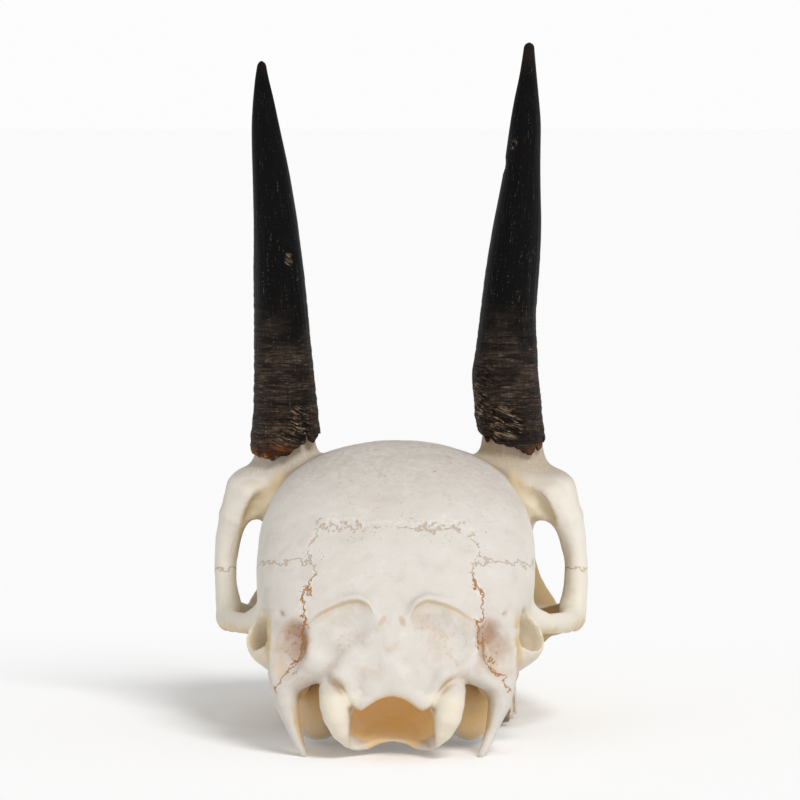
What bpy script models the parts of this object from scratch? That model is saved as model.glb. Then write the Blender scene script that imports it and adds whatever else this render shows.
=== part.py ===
"""Cranium of a grysbok, a small antelope, without its lower jaw: life size, at rest on its teeth.

Metres, +Z up, nose towards +Y, the animal's right side at +X. The origin is the middle of the
footprint, on the floor. The bone is one implicit form: named lumps, bars and hollows are blended
as distances in a geometry-nodes tree, meshed by Volume to Mesh, and parted by thin cuts where
a person would name its parts. The lengths below are millimetres in the skull's own frame, whose
y is 0 at the back edge of the foramen magnum and whose z is 0 at the floor.
"""

import math

import bmesh
import bpy
from mathutils import Euler, Matrix, Vector

MM = 0.001

# Driving sizes of the whole skull.
SKULL_BACK_Y = -2.2
SKULL_FRONT_Y = 130.8
# Both cheekbones stand a little to the right of the middle plane, and the footprint with them.
CHEEK_SHIFT = 0.6
MIDDLE = Vector((CHEEK_SHIFT, (SKULL_BACK_Y + SKULL_FRONT_Y) / 2, 0))
VERTEX_Z = 53.9

# The cells of the grid that the bone is meshed on, and the faces kept of it.
CELL = 0.9
BONE_FACES = 12000
GRID_LOW = Vector((-39.0, -6.0, -2.0))
GRID_HIGH = Vector((39.0, 136.0, 66.0))

# The gap that touching nodes keep.
GAP = 0.3

# Edges bent more than this stay sharp to the eye, in degrees.
SHARP_ANGLE = 50


def clear_scene():
    for item in list(bpy.data.objects):
        bpy.data.objects.remove(item)


class Field:
    """A number at every point of space: a node socket that takes part in arithmetic."""

    def __init__(self, socket):
        self.socket = socket

    def __add__(self, other):
        return number("ADD", self, other)

    def __radd__(self, other):
        return number("ADD", other, self)

    def __sub__(self, other):
        return number("SUBTRACT", self, other)

    def __rsub__(self, other):
        return number("SUBTRACT", other, self)

    def __mul__(self, other):
        return number("MULTIPLY", self, other)

    def __rmul__(self, other):
        return number("MULTIPLY", other, self)

    def __truediv__(self, other):
        return number("DIVIDE", self, other)

    def __neg__(self):
        return number("MULTIPLY", self, -1.0)


TREE = None


def add_node(kind, inputs=(), settings=None):
    """A node of the tree, its settings made first and then its inputs set or linked by index."""
    made = TREE.nodes.new(kind)
    for name, value in (settings or {}).items():
        setattr(made, name, value)
    for index, value in enumerate(inputs):
        if isinstance(value, Field):
            TREE.links.new(value.socket, made.inputs[index])
        elif value is not None:
            made.inputs[index].default_value = value
    return made


def number(operation, *inputs):
    return Field(add_node("ShaderNodeMath", inputs, {"operation": operation}).outputs[0])


def vector(operation, *inputs):
    return Field(add_node("ShaderNodeVectorMath", inputs, {"operation": operation}).outputs[0])


def length(value):
    made = add_node("ShaderNodeVectorMath", [value], {"operation": "LENGTH"})
    return Field(made.outputs["Value"])


def dot(one, other):
    made = add_node("ShaderNodeVectorMath", [one, other], {"operation": "DOT_PRODUCT"})
    return Field(made.outputs["Value"])


def scaled(value, factor):
    made = add_node("ShaderNodeVectorMath", [value], {"operation": "SCALE"})
    if isinstance(factor, Field):
        TREE.links.new(factor.socket, made.inputs["Scale"])
    else:
        made.inputs["Scale"].default_value = factor
    return Field(made.outputs[0])


def parts_of(value):
    made = add_node("ShaderNodeSeparateXYZ", [value])
    return [Field(made.outputs[i]) for i in range(3)]


def turned(value, turn):
    """The point in the frame of a form that is turned by these Euler angles, in degrees."""
    euler = Euler([math.radians(a) for a in turn]).to_matrix().inverted().to_euler()
    made = add_node("ShaderNodeVectorRotate", [value], {"rotation_type": "EULER_XYZ"})
    made.inputs["Rotation"].default_value = euler
    return Field(made.outputs[0])


def joined(one, other, blend):
    return number("SMOOTH_MIN", one, other, blend)


def carved(solid, hollow, blend):
    return number("SMOOTH_MAX", solid, -hollow, blend)


def along(y, stations):
    """A size that runs smoothly through (y, size) stations."""
    first, last = stations[0][0], stations[-1][0]
    low = min(size for _, size in stations)
    high = max(size for _, size in stations) + 1e-6
    share = (y - first) / (last - first)
    share.socket.node.use_clamp = True
    made = add_node("ShaderNodeFloatCurve", [1.0, share])
    points = made.mapping.curves[0].points
    while len(points) < len(stations):
        points.new(0.5, 0.5)
    for point, (place, size) in zip(points, stations):
        point.location = ((place - first) / (last - first), (size - low) / (high - low))
    made.mapping.update()
    return Field(made.outputs[0]) * (high - low) + low


def lump(space, centre, radii, turn=None):
    """Distance to an ellipsoid."""
    offset = vector("SUBTRACT", space, centre)
    if turn:
        offset = turned(offset, turn)
    share = vector("DIVIDE", offset, radii)
    reach = length(share)
    return reach * (reach - 1.0) / length(vector("DIVIDE", share, radii))


def bar(space, points, flatten=None):
    """Distance to a rod through (x, y, z, radius) points, thinner by flatten along an axis."""
    squash = Vector(flatten or (1.0, 1.0, 1.0))
    if flatten:
        space = vector("MULTIPLY", space, squash)
    whole = None
    for start, end in zip(points, points[1:]):
        a = Vector(start[:3]) * squash
        run = Vector(end[:3]) * squash - a
        offset = vector("SUBTRACT", space, a)
        share = number("MULTIPLY", dot(offset, run), 1 / run.length_squared)
        share.socket.node.use_clamp = True
        axis_distance = length(vector("SUBTRACT", offset, scaled(run, share)))
        reach = axis_distance - start[3] - share * (end[3] - start[3])
        whole = reach if whole is None else joined(whole, reach, 0.6)
    if flatten:
        whole = whole * (1 / math.sqrt(max(squash)))
    return whole


def column(x, y, centre_x, centre_y, half_x, half_y):
    """Distance to an upright column with a rounded, squarish section."""
    across = number("POWER", number("ABSOLUTE", (x - centre_x) / half_x), 3.0)
    lengthwise = number("POWER", number("ABSOLUTE", (y - centre_y) / half_y), 3.0)
    return (number("POWER", across + lengthwise, 1 / 3) - 1.0) * min(half_x, half_y)


def hull(space, half_widths, tops, bottoms, power):
    """Distance to a long body whose section runs through (y, size) stations."""
    x, y, z = parts_of(space)
    half_width = along(y, half_widths)
    top = along(y, tops)
    bottom = along(y, bottoms)
    half_height = (top - bottom) * 0.5
    across = number("POWER", number("ABSOLUTE", x / half_width), power)
    upward = number("POWER", number("ABSOLUTE", (z - bottom) / half_height - 1.0), power)
    reach = number("POWER", across + upward, 1 / power) - 1.0
    body = reach * number("MINIMUM", half_width, half_height)
    first, last = half_widths[0][0], half_widths[-1][0]
    ends = number("ABSOLUTE", y - (first + last) / 2) - (last - first) / 2
    return number("SMOOTH_MAX", body, ends, 5.0)


# Braincase: half width, roof and floor along the skull.
VAULT_HALF_WIDTHS = [(0, 5), (3, 12.4), (6, 17.8), (10, 21.8), (15, 24.4), (22, 26.1), (32, 26.8),
                     (42, 26.4), (52, 25), (60, 22), (68, 17)]
VAULT_TOPS = [(0, 14), (3, 21.5), (7, 29.4), (12, 36), (18, 41.4), (28, 48.2), (40, 53),
              (50, VERTEX_Z), (60, 53), (68, 49)]
VAULT_BOTTOMS = [(0, 11), (4, 12), (10, 11), (20, 11.5), (40, 13.5), (52, 16), (68, 24)]

# Roof of the orbits, a flat shelf out from the forehead.
SHELF_HALF_WIDTHS = [(46, 24), (54, 29), (60, 31.2), (68, 31.2), (78, 28.8), (88, 25.2), (95, 20)]
SHELF_TOPS = [(46, 51), (54, 51.6), (60, 50.9), (68, 48.4), (78, 43.6), (88, 39.2), (95, 36.3)]
SHELF_BOTTOMS = [(46, 32), (54, 37), (60, 40.2), (68, 42), (78, 39.6), (88, 34.4), (95, 31)]

# Wall between the orbits.
SEPTUM_HALF_WIDTHS = [(46, 17), (58, 14), (70, 12.4), (82, 13.4), (96, 16)]
SEPTUM_TOPS = [(46, 50), (58, 50), (70, 46), (82, 40), (96, 34)]
SEPTUM_BOTTOMS = [(46, 17), (58, 14), (70, 10), (82, 9), (96, 8)]

# Upper jaw over the cheek teeth.
JAW_HALF_WIDTHS = [(46, 17), (52, 19.4), (62, 20.6), (72, 20.3), (82, 18), (92, 14.6), (100, 11)]
JAW_TOPS = [(46, 13), (52, 16.5), (62, 18), (72, 19.5), (82, 22), (92, 25), (100, 26)]
JAW_BOTTOMS = [(46, 7.5), (60, 7), (80, 7), (100, 8)]

# Muzzle, from the face before the orbits to the front of the nasal bones.
MUZZLE_HALF_WIDTHS = [(82, 22.5), (88, 21.2), (95, 18), (103, 13.6), (110, 10.8), (118, 8.6)]
MUZZLE_TOPS = [(82, 42), (88, 39.4), (95, 36.3), (103, 33.2), (110, 30.6), (118, 27.6)]
MUZZLE_BOTTOMS = [(82, 14), (88, 11), (95, 9), (103, 8.6), (110, 8.4), (118, 9)]

# Eye sockets.
ORBIT_CENTRE = (33.5, 73, 31.6)
ORBIT_RADII = (21.5, 15.6, 12)
ORBIT_TURN = (-12, 0, 0)

# Lower teeth edges are at the floor; (centre x, centre y, half x, half y) from front to back.
TEETH = [(11.6, 91.0, 2.7, 3.1), (13.6, 84.7, 3.2, 3.2), (15.2, 78.4, 3.6, 3.1),
         (16.5, 71.2, 4.3, 4.2), (16.5, 62.0, 4.7, 4.9), (15.3, 51.8, 4.6, 5.2)]
GUM_Z = 9.5


def braincase_field(space):
    vault = hull(space, VAULT_HALF_WIDTHS, VAULT_TOPS, VAULT_BOTTOMS, 2.3)
    crest = bar(space, [(0, 5.2, 24.4, 1.6), (3.5, 6.4, 26, 1.3), (8, 8.2, 27.8, 1.3),
                        (13, 10.4, 26.2, 1.4), (17.6, 13.4, 23, 1.5), (22, 18, 21.5, 2)])
    mastoid = lump(space, (18.9, 14.6, 17.6), (4.9, 5, 7.4))
    base = bar(space, [(0, 14, 6, 3.2), (0, 26, 8.5, 3.4), (0, 40, 12, 3.3), (0, 54, 16, 3)],
               (0.62, 1, 1))
    base = joined(base, lump(space, (0, 17, 9.6), (14, 8.4, 6.6)), 3)
    bulla = lump(space, (14.2, 23.5, 8.6), (5.7, 10, 8), (0, 0, -8))
    ear_tube = bar(space, [(14, 27, 13.8, 4), (20.4, 22.4, 19.3, 4.5), (23.4, 20.1, 21.6, 4.8)])
    glenoid = lump(space, (19.5, 36, 19.5), (7, 6, 3.4))
    pterygoid = lump(space, (7.4, 51, 14), (1.7, 9, 9), (14, 0, 0))
    whole = joined(vault, crest, 3)
    whole = joined(whole, mastoid, 4)
    whole = joined(whole, base, 3)
    whole = joined(whole, bulla, 1.6)
    whole = joined(whole, ear_tube, 2)
    whole = joined(whole, glenoid, 3)
    return joined(whole, pterygoid, 2)


def occiput_field(space):
    condyle = bar(space, [(11, 4, 12.4, 2.6), (10.9, 1.2, 10.4, 2.8), (10.4, 0.6, 7.6, 2.8),
                          (9, 3, 5, 2.4), (6.6, 7.5, 3.4, 2)])
    front_lip = bar(space, [(0, 12.4, 3.9, 1.5), (4, 10.4, 3.6, 1.7), (7, 7.4, 3.6, 1.9)])
    roof_lip = bar(space, [(0, 1.6, 12.6, 1.5), (5.4, 1.4, 11.4, 1.4), (8.4, 2.8, 11.6, 1.8)])
    process = bar(space, [(20.2, 12, 15, 2.6), (19.6, 9.6, 8.6, 2.1), (18.6, 8.4, 5.2, 1.3),
                          (17.2, 7, 1, 0.95), (16.7, 6.8, -0.4, 0.9)], (1, 0.55, 1))
    whole = joined(joined(condyle, roof_lip, 1.2), front_lip, 1)
    return joined(whole, process, 1.5)


def face_field(space):
    shelf = hull(space, SHELF_HALF_WIDTHS, SHELF_TOPS, SHELF_BOTTOMS, 2.3)
    septum = hull(space, SEPTUM_HALF_WIDTHS, SEPTUM_TOPS, SEPTUM_BOTTOMS, 2.4)
    jaw = hull(space, JAW_HALF_WIDTHS, JAW_TOPS, JAW_BOTTOMS, 3)
    muzzle = hull(space, MUZZLE_HALF_WIDTHS, MUZZLE_TOPS, MUZZLE_BOTTOMS, 2.5)
    whole = joined(joined(shelf, septum, 3), jaw, 4)
    return joined(whole, muzzle, 3)


def cheek_field(space):
    post_bar = bar(space, [(32.6, 56, 20, 2.8), (33, 56.2, 27.5, 2.9), (32, 57, 36, 3.7),
                           (29, 57.5, 42.4, 4.5)], (1, 0.8, 1))
    rear_arch = bar(space, [(23, 28, 25, 3), (28, 34, 23.4, 2.1), (31.2, 42, 22.2, 2),
                            (32.4, 52, 21, 2.2)], (1, 1, 0.75))
    front_arch = bar(space, [(32, 52, 21, 2.3), (31.6, 62, 19.4, 2.5), (30, 72, 18.2, 2.6),
                             (26.6, 82, 17.6, 2.8), (22, 90, 17, 3)], (1, 1, 0.68))
    front_rim = bar(space, [(29.4, 60, 45.4, 2.2), (29.6, 69, 45, 2), (27.8, 77.6, 42.6, 2),
                            (25.6, 84.4, 39, 2.1), (24.4, 88.4, 32.6, 2.2),
                            (24.4, 89, 25, 2.5), (25.6, 85, 19, 2.6)])
    whole = joined(post_bar, rear_arch, 2.5)
    whole = joined(whole, front_arch, 2)
    return joined(whole, front_rim, 2)


def snout_field(space):
    rising = bar(space, [(4.2, 129.2, 10, 1.7), (7.6, 123, 11.6, 1.6), (8.6, 116, 16, 1.6),
                         (8.4, 109, 22, 1.8)], (1, 1, 0.8))
    palate = bar(space, [(1.7, 128, 9.6, 1.3), (1.7, 110, 9.4, 1.5)])
    return joined(rising, palate, 1.2)


def pedicle_field(space):
    return bar(space, [(20.6, 62, 41, 8), (21.3, 60.4, 48, 6.2), (21.4, 59.4, 53, 5.8)])


def hollow_fields(space):
    """The openings, each with the blend of its edge."""
    orbit = lump(space, ORBIT_CENTRE, ORBIT_RADII, ORBIT_TURN)
    temple = bar(space, [(31, 42, 42, 5), (30, 48, 35, 3.6), (28, 56, 28, 3.6), (27, 62, 25, 5)])
    temple_gap = lump(space, (27.3, 57, 29.8), (3.2, 13, 9), (0, 4, 0))
    under_arch = bar(space, [(29, 44, 14, 4.6), (26.4, 60, 21, 4)])
    behind_jaw = lump(space, (17, 43, 15), (8, 7, 5), (-30, 0, 0))
    foramen = bar(space, [(0, -2, -2.2, 6.9), (0, 5.5, 7.2, 6.9), (0, 13, 16.6, 7.4),
                          (0, 24, 25, 10)], (0.9, 1, 1))
    ear_hole = bar(space, [(17.6, 25, 16.6, 2), (29, 16, 25.4, 4.4)])
    nasal = lump(space, (0, 123, 20.2), (6.6, 21, 6.2), (-8, 0, 0))
    side_notch = lump(space, (9, 121.5, 20), (8, 11, 4.6), (-10, 0, 0))
    choana = bar(space, [(0, 38, 6, 5.4), (0, 50, 11, 5), (0, 62, 17, 4.6)])
    tear_pit = lump(space, (20.8, 98.5, 27.5), (7.6, 8.6, 7.2), (0, 0, 24))
    mastoid_pit = lump(space, (20.2, 6.8, 18.2), (3.6, 3.6, 7), (0, -14, 0))
    nuchal_pit = lump(space, (9.4, 0.4, 23.4), (8, 5, 5.6), (0, 8, 0))
    condyle_pit = lump(space, (11.6, 0.6, 16.6), (5.4, 3.6, 2), (0, 24, 0))
    fissure = bar(space, [(4.6, 114, 9, 1.5), (4.4, 125, 10, 1.5)], (1, 1, 0.4))
    return [(orbit, 1.5), (temple, 2), (temple_gap, 1.5), (under_arch, 2), (behind_jaw, 3), (foramen, 1.2),
            (ear_hole, 0.8), (nasal, 1.2), (side_notch, 1.5), (choana, 1.5), (tear_pit, 2),
            (fissure, 1), (mastoid_pit, 1.5), (nuchal_pit, 1.2), (condyle_pit, 1)]


def teeth_field(space):
    """The crowns, longer than they are: they are cut level with the floor later."""
    x, y, z = parts_of(space)
    row = None
    for centre_x, centre_y, half_x, half_y in TEETH:
        tooth = column(x, y, centre_x, centre_y, half_x, half_y)
        row = tooth if row is None else number("MINIMUM", row, tooth)
    return number("SMOOTH_MAX", row, number("ABSOLUTE", z - GUM_Z / 2 + 0.8) - GUM_Z / 2 - 0.8, 1.0)


def palate_field(space):
    return hull(space, [(40, 10), (56, 9.6), (74, 10), (86, 8.8), (96, 7.6), (106, 5)],
                [(40, 11), (60, 10), (86, 10.4), (106, 10)], [(40, -12), (106, -12)], 4)


def skull_field():
    """The whole cranium, mirrored by taking the distance of x from the middle plane."""
    place = Field(add_node("GeometryNodeInputPosition").outputs[0])
    x, y, z = parts_of(place)
    outward = (number("ABSOLUTE", x) - 24) / 8
    outward.socket.node.use_clamp = True
    mirrored = number("ABSOLUTE", x - outward * CHEEK_SHIFT)
    space = Field(add_node("ShaderNodeCombineXYZ", [mirrored, y, z]).outputs[0])
    whole = joined(braincase_field(space), occiput_field(space), 2)
    whole = joined(whole, face_field(space), 4)
    whole = joined(whole, cheek_field(space), 2.5)
    whole = joined(whole, pedicle_field(space), 4)
    for hollow, blend in hollow_fields(space):
        whole = carved(whole, hollow, blend)
    whole = carved(whole, palate_field(space), 1.5)
    whole = joined(whole, snout_field(space), 1.5)
    return joined(whole, teeth_field(space), 0.8)


def bone_mesh():
    """The meshed cranium, in metres about the origin of the part."""
    global TREE
    TREE = bpy.data.node_groups.new("cranium_form", "GeometryNodeTree")
    TREE.interface.new_socket("Geometry", in_out="OUTPUT", socket_type="NodeSocketGeometry")
    cells = [round(side / CELL) for side in GRID_HIGH - GRID_LOW]
    grid = add_node("GeometryNodeVolumeCube",
                    [-skull_field(), -1.0, GRID_LOW, GRID_HIGH, *cells])
    skin = add_node("GeometryNodeVolumeToMesh", [Field(grid.outputs[0])])
    skin.inputs["Threshold"].default_value = 0.0
    out = TREE.nodes.new("NodeGroupOutput")
    TREE.links.new(skin.outputs[0], out.inputs[0])

    holder = new_object("cranium_form", bpy.data.meshes.new("cranium_form"))
    holder.modifiers.new("form", "NODES").node_group = TREE
    smooth = holder.modifiers.new("smooth", "SMOOTH")
    smooth.factor = 0.5
    smooth.iterations = 1
    applied(holder)
    keep_largest(holder.data)
    share = BONE_FACES / sum(len(face.vertices) - 2 for face in holder.data.polygons)
    fewer = holder.modifiers.new("fewer", "DECIMATE")
    fewer.ratio = share
    fewer.use_symmetry = True
    applied(holder)
    keep_largest(holder.data)
    holder.data.transform(Matrix.Scale(MM, 4) @ Matrix.Translation(-MIDDLE))
    return holder


def cut_level(mesh):
    """Cuts all that is under the floor away, and closes the cuts flat."""
    work = bmesh.new()
    work.from_mesh(mesh)
    bmesh.ops.bisect_plane(work, geom=[*work.verts, *work.edges, *work.faces],
                           plane_co=(0, 0, 0), plane_no=(0, 0, -1), clear_outer=True)
    bmesh.ops.holes_fill(work, edges=[edge for edge in work.edges if edge.is_boundary])
    work.to_mesh(mesh)
    work.free()


def new_object(name, mesh):
    made = bpy.data.objects.new(name, mesh)
    bpy.context.scene.collection.objects.link(made)
    return made


def applied(holder):
    """Gives the object the mesh that its modifiers make, and clears them."""
    graph = bpy.context.evaluated_depsgraph_get()
    mesh = bpy.data.meshes.new_from_object(holder.evaluated_get(graph), depsgraph=graph)
    mesh.name = holder.data.name
    holder.modifiers.clear()
    holder.data = mesh


def keep_largest(mesh):
    """Leaves only the closed surface with the most vertices."""
    work = bmesh.new()
    work.from_mesh(mesh)
    left = set(work.verts)
    largest = []
    while left:
        shell = []
        front = [left.pop()]
        while front:
            vert = front.pop()
            shell.append(vert)
            for edge in vert.link_edges:
                other = edge.other_vert(vert)
                if other in left:
                    left.remove(other)
                    front.append(other)
        if len(shell) > len(largest):
            largest = shell
    kept = set(largest)
    bmesh.ops.delete(work, geom=[v for v in work.verts if v not in kept], context="VERTS")
    bmesh.ops.triangulate(work, faces=work.faces[:])
    work.to_mesh(mesh)
    work.free()


# Where the bone is parted: boxes that hold a node, (centre, half size, turn about x), in mm.
OCCIPUT_BOX = ((0, -20, 25), (60, 34.5, 60), -7.5)
MUZZLE_BOX = ((0, 95.2, 0.2), (60, 40, 80), -38.7)
CHEEK_BOX = ((43.4, 62, 7.3), (20, 24.5, 20), 0)


def region(name, box, side, grow):
    """A box around a node's bone, grown all round by a length."""
    centre, half, turn = box
    mesh = bpy.data.meshes.new(name)
    work = bmesh.new()
    bmesh.ops.create_cube(work, size=2)
    work.transform(Matrix.Diagonal([h + grow for h in half]).to_4x4())
    work.transform(Matrix.Rotation(math.radians(turn), 4, "X"))
    work.transform(Matrix.Translation(Vector((centre[0] * side, *centre[1:])) - MIDDLE))
    work.transform(Matrix.Scale(MM, 4))
    work.to_mesh(mesh)
    work.free()
    return cutter(name, mesh)


def cutter(name, mesh):
    made = new_object(name, mesh)
    made.hide_render = True
    made.display_type = "WIRE"
    return made


def bone_node(name, whole, inside, outside, material):
    """A node: the bone inside one region, if any, and outside of the others."""
    made = new_object(name, whole.data.copy())
    made.data.name = name
    for operation, tools in (("INTERSECT", inside), ("DIFFERENCE", outside)):
        for tool in tools:
            cut = made.modifiers.new(tool.name, "BOOLEAN")
            cut.operation = operation
            cut.object = tool
    applied(made)
    keep_largest(made.data)
    cut_level(made.data)
    made.data.materials.clear()
    made.data.materials.append(material)
    made.data.shade_smooth()
    made.data.set_sharp_from_angle(angle=math.radians(SHARP_ANGLE))
    return made


# Horns: (share of the length from the base, half width, half depth, sideways, lengthwise).
HORN_HALF_WIDTH = 6.6
HORN_HALF_DEPTH = 7.6
HORN_SIDES = 18
HORN_RINGS = 22
HORN_BASE = {"horn_left": (-21.5, 60.2, 49.2), "horn_right": (21.5, 60.2, 49.8)}
HORN_TIP = {"horn_left": (-25.2, 44.0, 125.8), "horn_right": (25.2, 44.0, 129.5)}
HORN_BOW = 0.8
HORN_RIM_TILT = 13.0


def horn(name, grow):
    """A horn's outer shape, grown all round by a length, as rings from its base to its tip."""
    base = Vector(HORN_BASE[name])
    tip = Vector(HORN_TIP[name])
    rim_plane = Matrix.Rotation(math.radians(-HORN_RIM_TILT), 3, "X")
    lean = (tip - base).to_track_quat("Z", "Y").to_matrix()
    base -= lean.col[2] * grow
    mesh = bpy.data.meshes.new(name)
    work = bmesh.new()
    rings = []
    for step in range(HORN_RINGS):
        share = step / (HORN_RINGS - 1)
        thick = max(1 - share, 0.0035) ** 0.56
        ripple = 1 + 0.02 * math.sin(share * 56) * max(0.0, 1 - share * 2.6)
        middle = base.lerp(tip, share)
        middle.y -= HORN_BOW * math.sin(math.pi * share)
        half_width = HORN_HALF_WIDTH * thick * ripple + grow
        half_depth = HORN_HALF_DEPTH * thick * ripple + grow
        ring = []
        for corner in range(HORN_SIDES):
            turn = 2 * math.pi * corner / HORN_SIDES
            reach = Vector((math.cos(turn) * half_width, math.sin(turn) * half_depth, 0))
            spot = (rim_plane @ reach).lerp(lean @ reach, min(1.0, share * 4))
            ring.append(work.verts.new(middle + spot))
        rings.append(ring)
    for low, high in zip(rings, rings[1:]):
        for corner in range(HORN_SIDES):
            after = (corner + 1) % HORN_SIDES
            work.faces.new((low[corner], low[after], high[after], high[corner]))
    work.faces.new(list(reversed(rings[0])))
    work.faces.new(rings[-1])
    bmesh.ops.recalc_face_normals(work, faces=work.faces[:])
    work.transform(Matrix.Scale(MM, 4) @ Matrix.Translation(-MIDDLE))
    work.to_mesh(mesh)
    work.free()
    return mesh


def plain_material(name, colour, roughness):
    made = bpy.data.materials.new(name)
    made.use_nodes = True
    made.diffuse_color = (*colour, 1)
    shader = made.node_tree.nodes["Principled BSDF"]
    shader.inputs["Base Color"].default_value = (*colour, 1)
    shader.inputs["Roughness"].default_value = roughness
    return made


clear_scene()
bone = plain_material("bone", (0.76, 0.70, 0.58), 0.7)
sheath = plain_material("horn_sheath", (0.022, 0.019, 0.017), 0.4)

for name in HORN_BASE:
    node = new_object(name, horn(name, 0))
    node.data.materials.append(sheath)
    node.data.shade_smooth()
    node.data.set_sharp_from_angle(angle=math.radians(SHARP_ANGLE))

cranium = bone_mesh()
occiput_in = region("occiput_region", OCCIPUT_BOX, 1, 0)
occiput_out = region("occiput_gap", OCCIPUT_BOX, 1, GAP)
muzzle_in = region("muzzle_region", MUZZLE_BOX, 1, 0)
muzzle_out = region("muzzle_gap", MUZZLE_BOX, 1, GAP)
cheeks_in = [region("cheek_region", CHEEK_BOX, side, 0) for side in (-1, 1)]
cheeks_out = [region("cheek_gap", CHEEK_BOX, side, GAP) for side in (-1, 1)]
seats = [cutter("horn_seat", horn(name, GAP)) for name in HORN_BASE]

bone_node("occiput", cranium, [occiput_in], [], bone)
bone_node("muzzle", cranium, [muzzle_in], cheeks_out, bone)
bone_node("braincase", cranium, [], [occiput_out, muzzle_out, *cheeks_out, *seats], bone)
bone_node("cheekbone_left", cranium, [cheeks_in[0]], [], bone)
bone_node("cheekbone_right", cranium, [cheeks_in[1]], [], bone)
for holder in [cranium, occiput_in, occiput_out, muzzle_in, muzzle_out, *cheeks_in, *cheeks_out,
               *seats]:
    bpy.data.objects.remove(holder)
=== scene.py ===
"""Cranium of a grysbok with its horns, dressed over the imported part: looks, light and camera."""

import math

import bmesh
import bpy
import numpy as np
from mathutils import Euler, Matrix, Vector, noise


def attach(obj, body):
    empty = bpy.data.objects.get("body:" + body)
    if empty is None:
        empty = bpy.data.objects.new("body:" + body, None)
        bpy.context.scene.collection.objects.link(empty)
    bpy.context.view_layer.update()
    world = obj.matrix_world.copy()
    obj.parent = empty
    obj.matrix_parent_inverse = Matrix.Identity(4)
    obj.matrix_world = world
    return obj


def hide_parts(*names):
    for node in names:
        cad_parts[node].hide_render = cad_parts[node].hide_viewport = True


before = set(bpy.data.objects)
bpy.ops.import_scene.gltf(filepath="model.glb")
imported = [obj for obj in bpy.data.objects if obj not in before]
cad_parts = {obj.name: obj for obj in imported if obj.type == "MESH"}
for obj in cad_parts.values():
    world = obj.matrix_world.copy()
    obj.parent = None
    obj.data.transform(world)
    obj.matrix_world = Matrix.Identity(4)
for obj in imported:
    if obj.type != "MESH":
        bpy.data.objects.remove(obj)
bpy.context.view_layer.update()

# Cranium. One shell of cleaned, sun-dried bone, its plates knitted together at wiggly sutures.
# It is meshed from named lumps, bars and hollows that blend as distances. Lengths are millimetres
# in the skull's own frame: y is 0 at the back edge of the foramen magnum, z is 0 at the floor.

MM = 0.001
# The cheeks sit a little to the right of the braincase, and the part's frame is centred on them.
CHEEK_SHIFT = 0.6
SKULL_MIDDLE = Vector((CHEEK_SHIFT, 64.3, 0))
BONE_CELL = 0.38
BONE_LOW = Vector((-39.0, -5.0, -1.5))
BONE_HIGH = Vector((39.0, 134.0, 58.0))
# A loose scrap of skin has fewer points than this, and is dropped.
BONE_FEWEST_POINTS = 30000

# Long forms, each as (y, half width), (y, top) and (y, bottom) stations. First the braincase.
VAULT = ([(0, 5), (3, 12.4), (6, 17.6), (10, 21.2), (15, 23.6), (22, 25.2), (32, 25.9), (42, 25.7),
          (52, 24.6), (60, 22), (68, 17)],
         [(0, 14), (3, 21.5), (7, 29.4), (12, 36), (18, 41.4), (28, 48.2), (40, 53), (50, 53.9),
          (60, 53), (68, 49)],
         [(0, 11), (4, 12), (10, 11), (20, 12.5), (40, 15), (52, 17), (68, 24)])

# Roof of the eye sockets, a shelf out from the forehead.
SHELF = ([(51, 25), (55, 28.2), (60, 30.4), (68, 31), (78, 28.8), (88, 25.2), (95, 20)],
         [(51, 49.4), (55, 50.4), (60, 50.4), (68, 48.2), (78, 43.6), (88, 39.2), (95, 36.3)],
         [(51, 34), (55, 37.6), (60, 40.2), (68, 42), (78, 39.6), (88, 34.4), (95, 31)])

# Wall between the eye sockets.
SEPTUM = ([(46, 18), (58, 17.4), (70, 16), (82, 17.4), (96, 18)],
          [(46, 50), (58, 50), (70, 46), (82, 40), (96, 34)],
          [(46, 17), (58, 14), (70, 10), (82, 9), (96, 8)])

# Upper jaw over the cheek teeth.
JAW = ([(45, 17.5), (50, 21.6), (58, 23.2), (68, 22.6), (80, 20.2), (92, 15.6), (100, 11)],
       [(45, 13), (52, 16.5), (62, 18), (72, 19.5), (82, 22), (92, 25), (100, 26)],
       [(45, 6), (52, 4.6), (62, 4.8), (80, 5.6), (100, 8)])

# Muzzle, from the face before the eye sockets to the front of the nasal bones.
MUZZLE = ([(82, 24.4), (88, 23.4), (95, 19), (103, 13.6), (110, 10.8), (118, 8.6)],
          [(82, 42), (88, 39.4), (95, 36.3), (103, 33.2), (110, 30.6), (118, 27.6)],
          [(82, 14), (88, 11), (95, 9), (103, 8.6), (110, 8.4), (118, 9)])


class Graph:
    """A node tree that is written as expressions."""

    def __init__(self, tree):
        self.tree = tree

    def node(self, kind, settings=None, inputs=(), out=0):
        """Adds a node: its settings first, then its inputs by name or place. Gives one output."""
        made = self.tree.nodes.new(kind)
        for name, value in (settings or {}).items():
            if name == "curve":
                points = made.mapping.curves[0].points
                while len(points) < len(value):
                    points.new(0.5, 0.5)
                for point, place in zip(points, value):
                    point.location = place
                made.mapping.update()
            else:
                setattr(made, name, value)
        for key, value in inputs.items() if isinstance(inputs, dict) else enumerate(inputs):
            if isinstance(value, Wire):
                self.tree.links.new(value.socket, made.inputs[key])
            else:
                made.inputs[key].default_value = value
        return Wire(self, made.outputs[out]) if made.outputs else None

    def scaled(self, vector, factor):
        """A vector times a number, each fixed or from a node."""
        return self.node("ShaderNodeVectorMath", {"operation": "SCALE"}, {0: vector, "Scale": factor})


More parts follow.
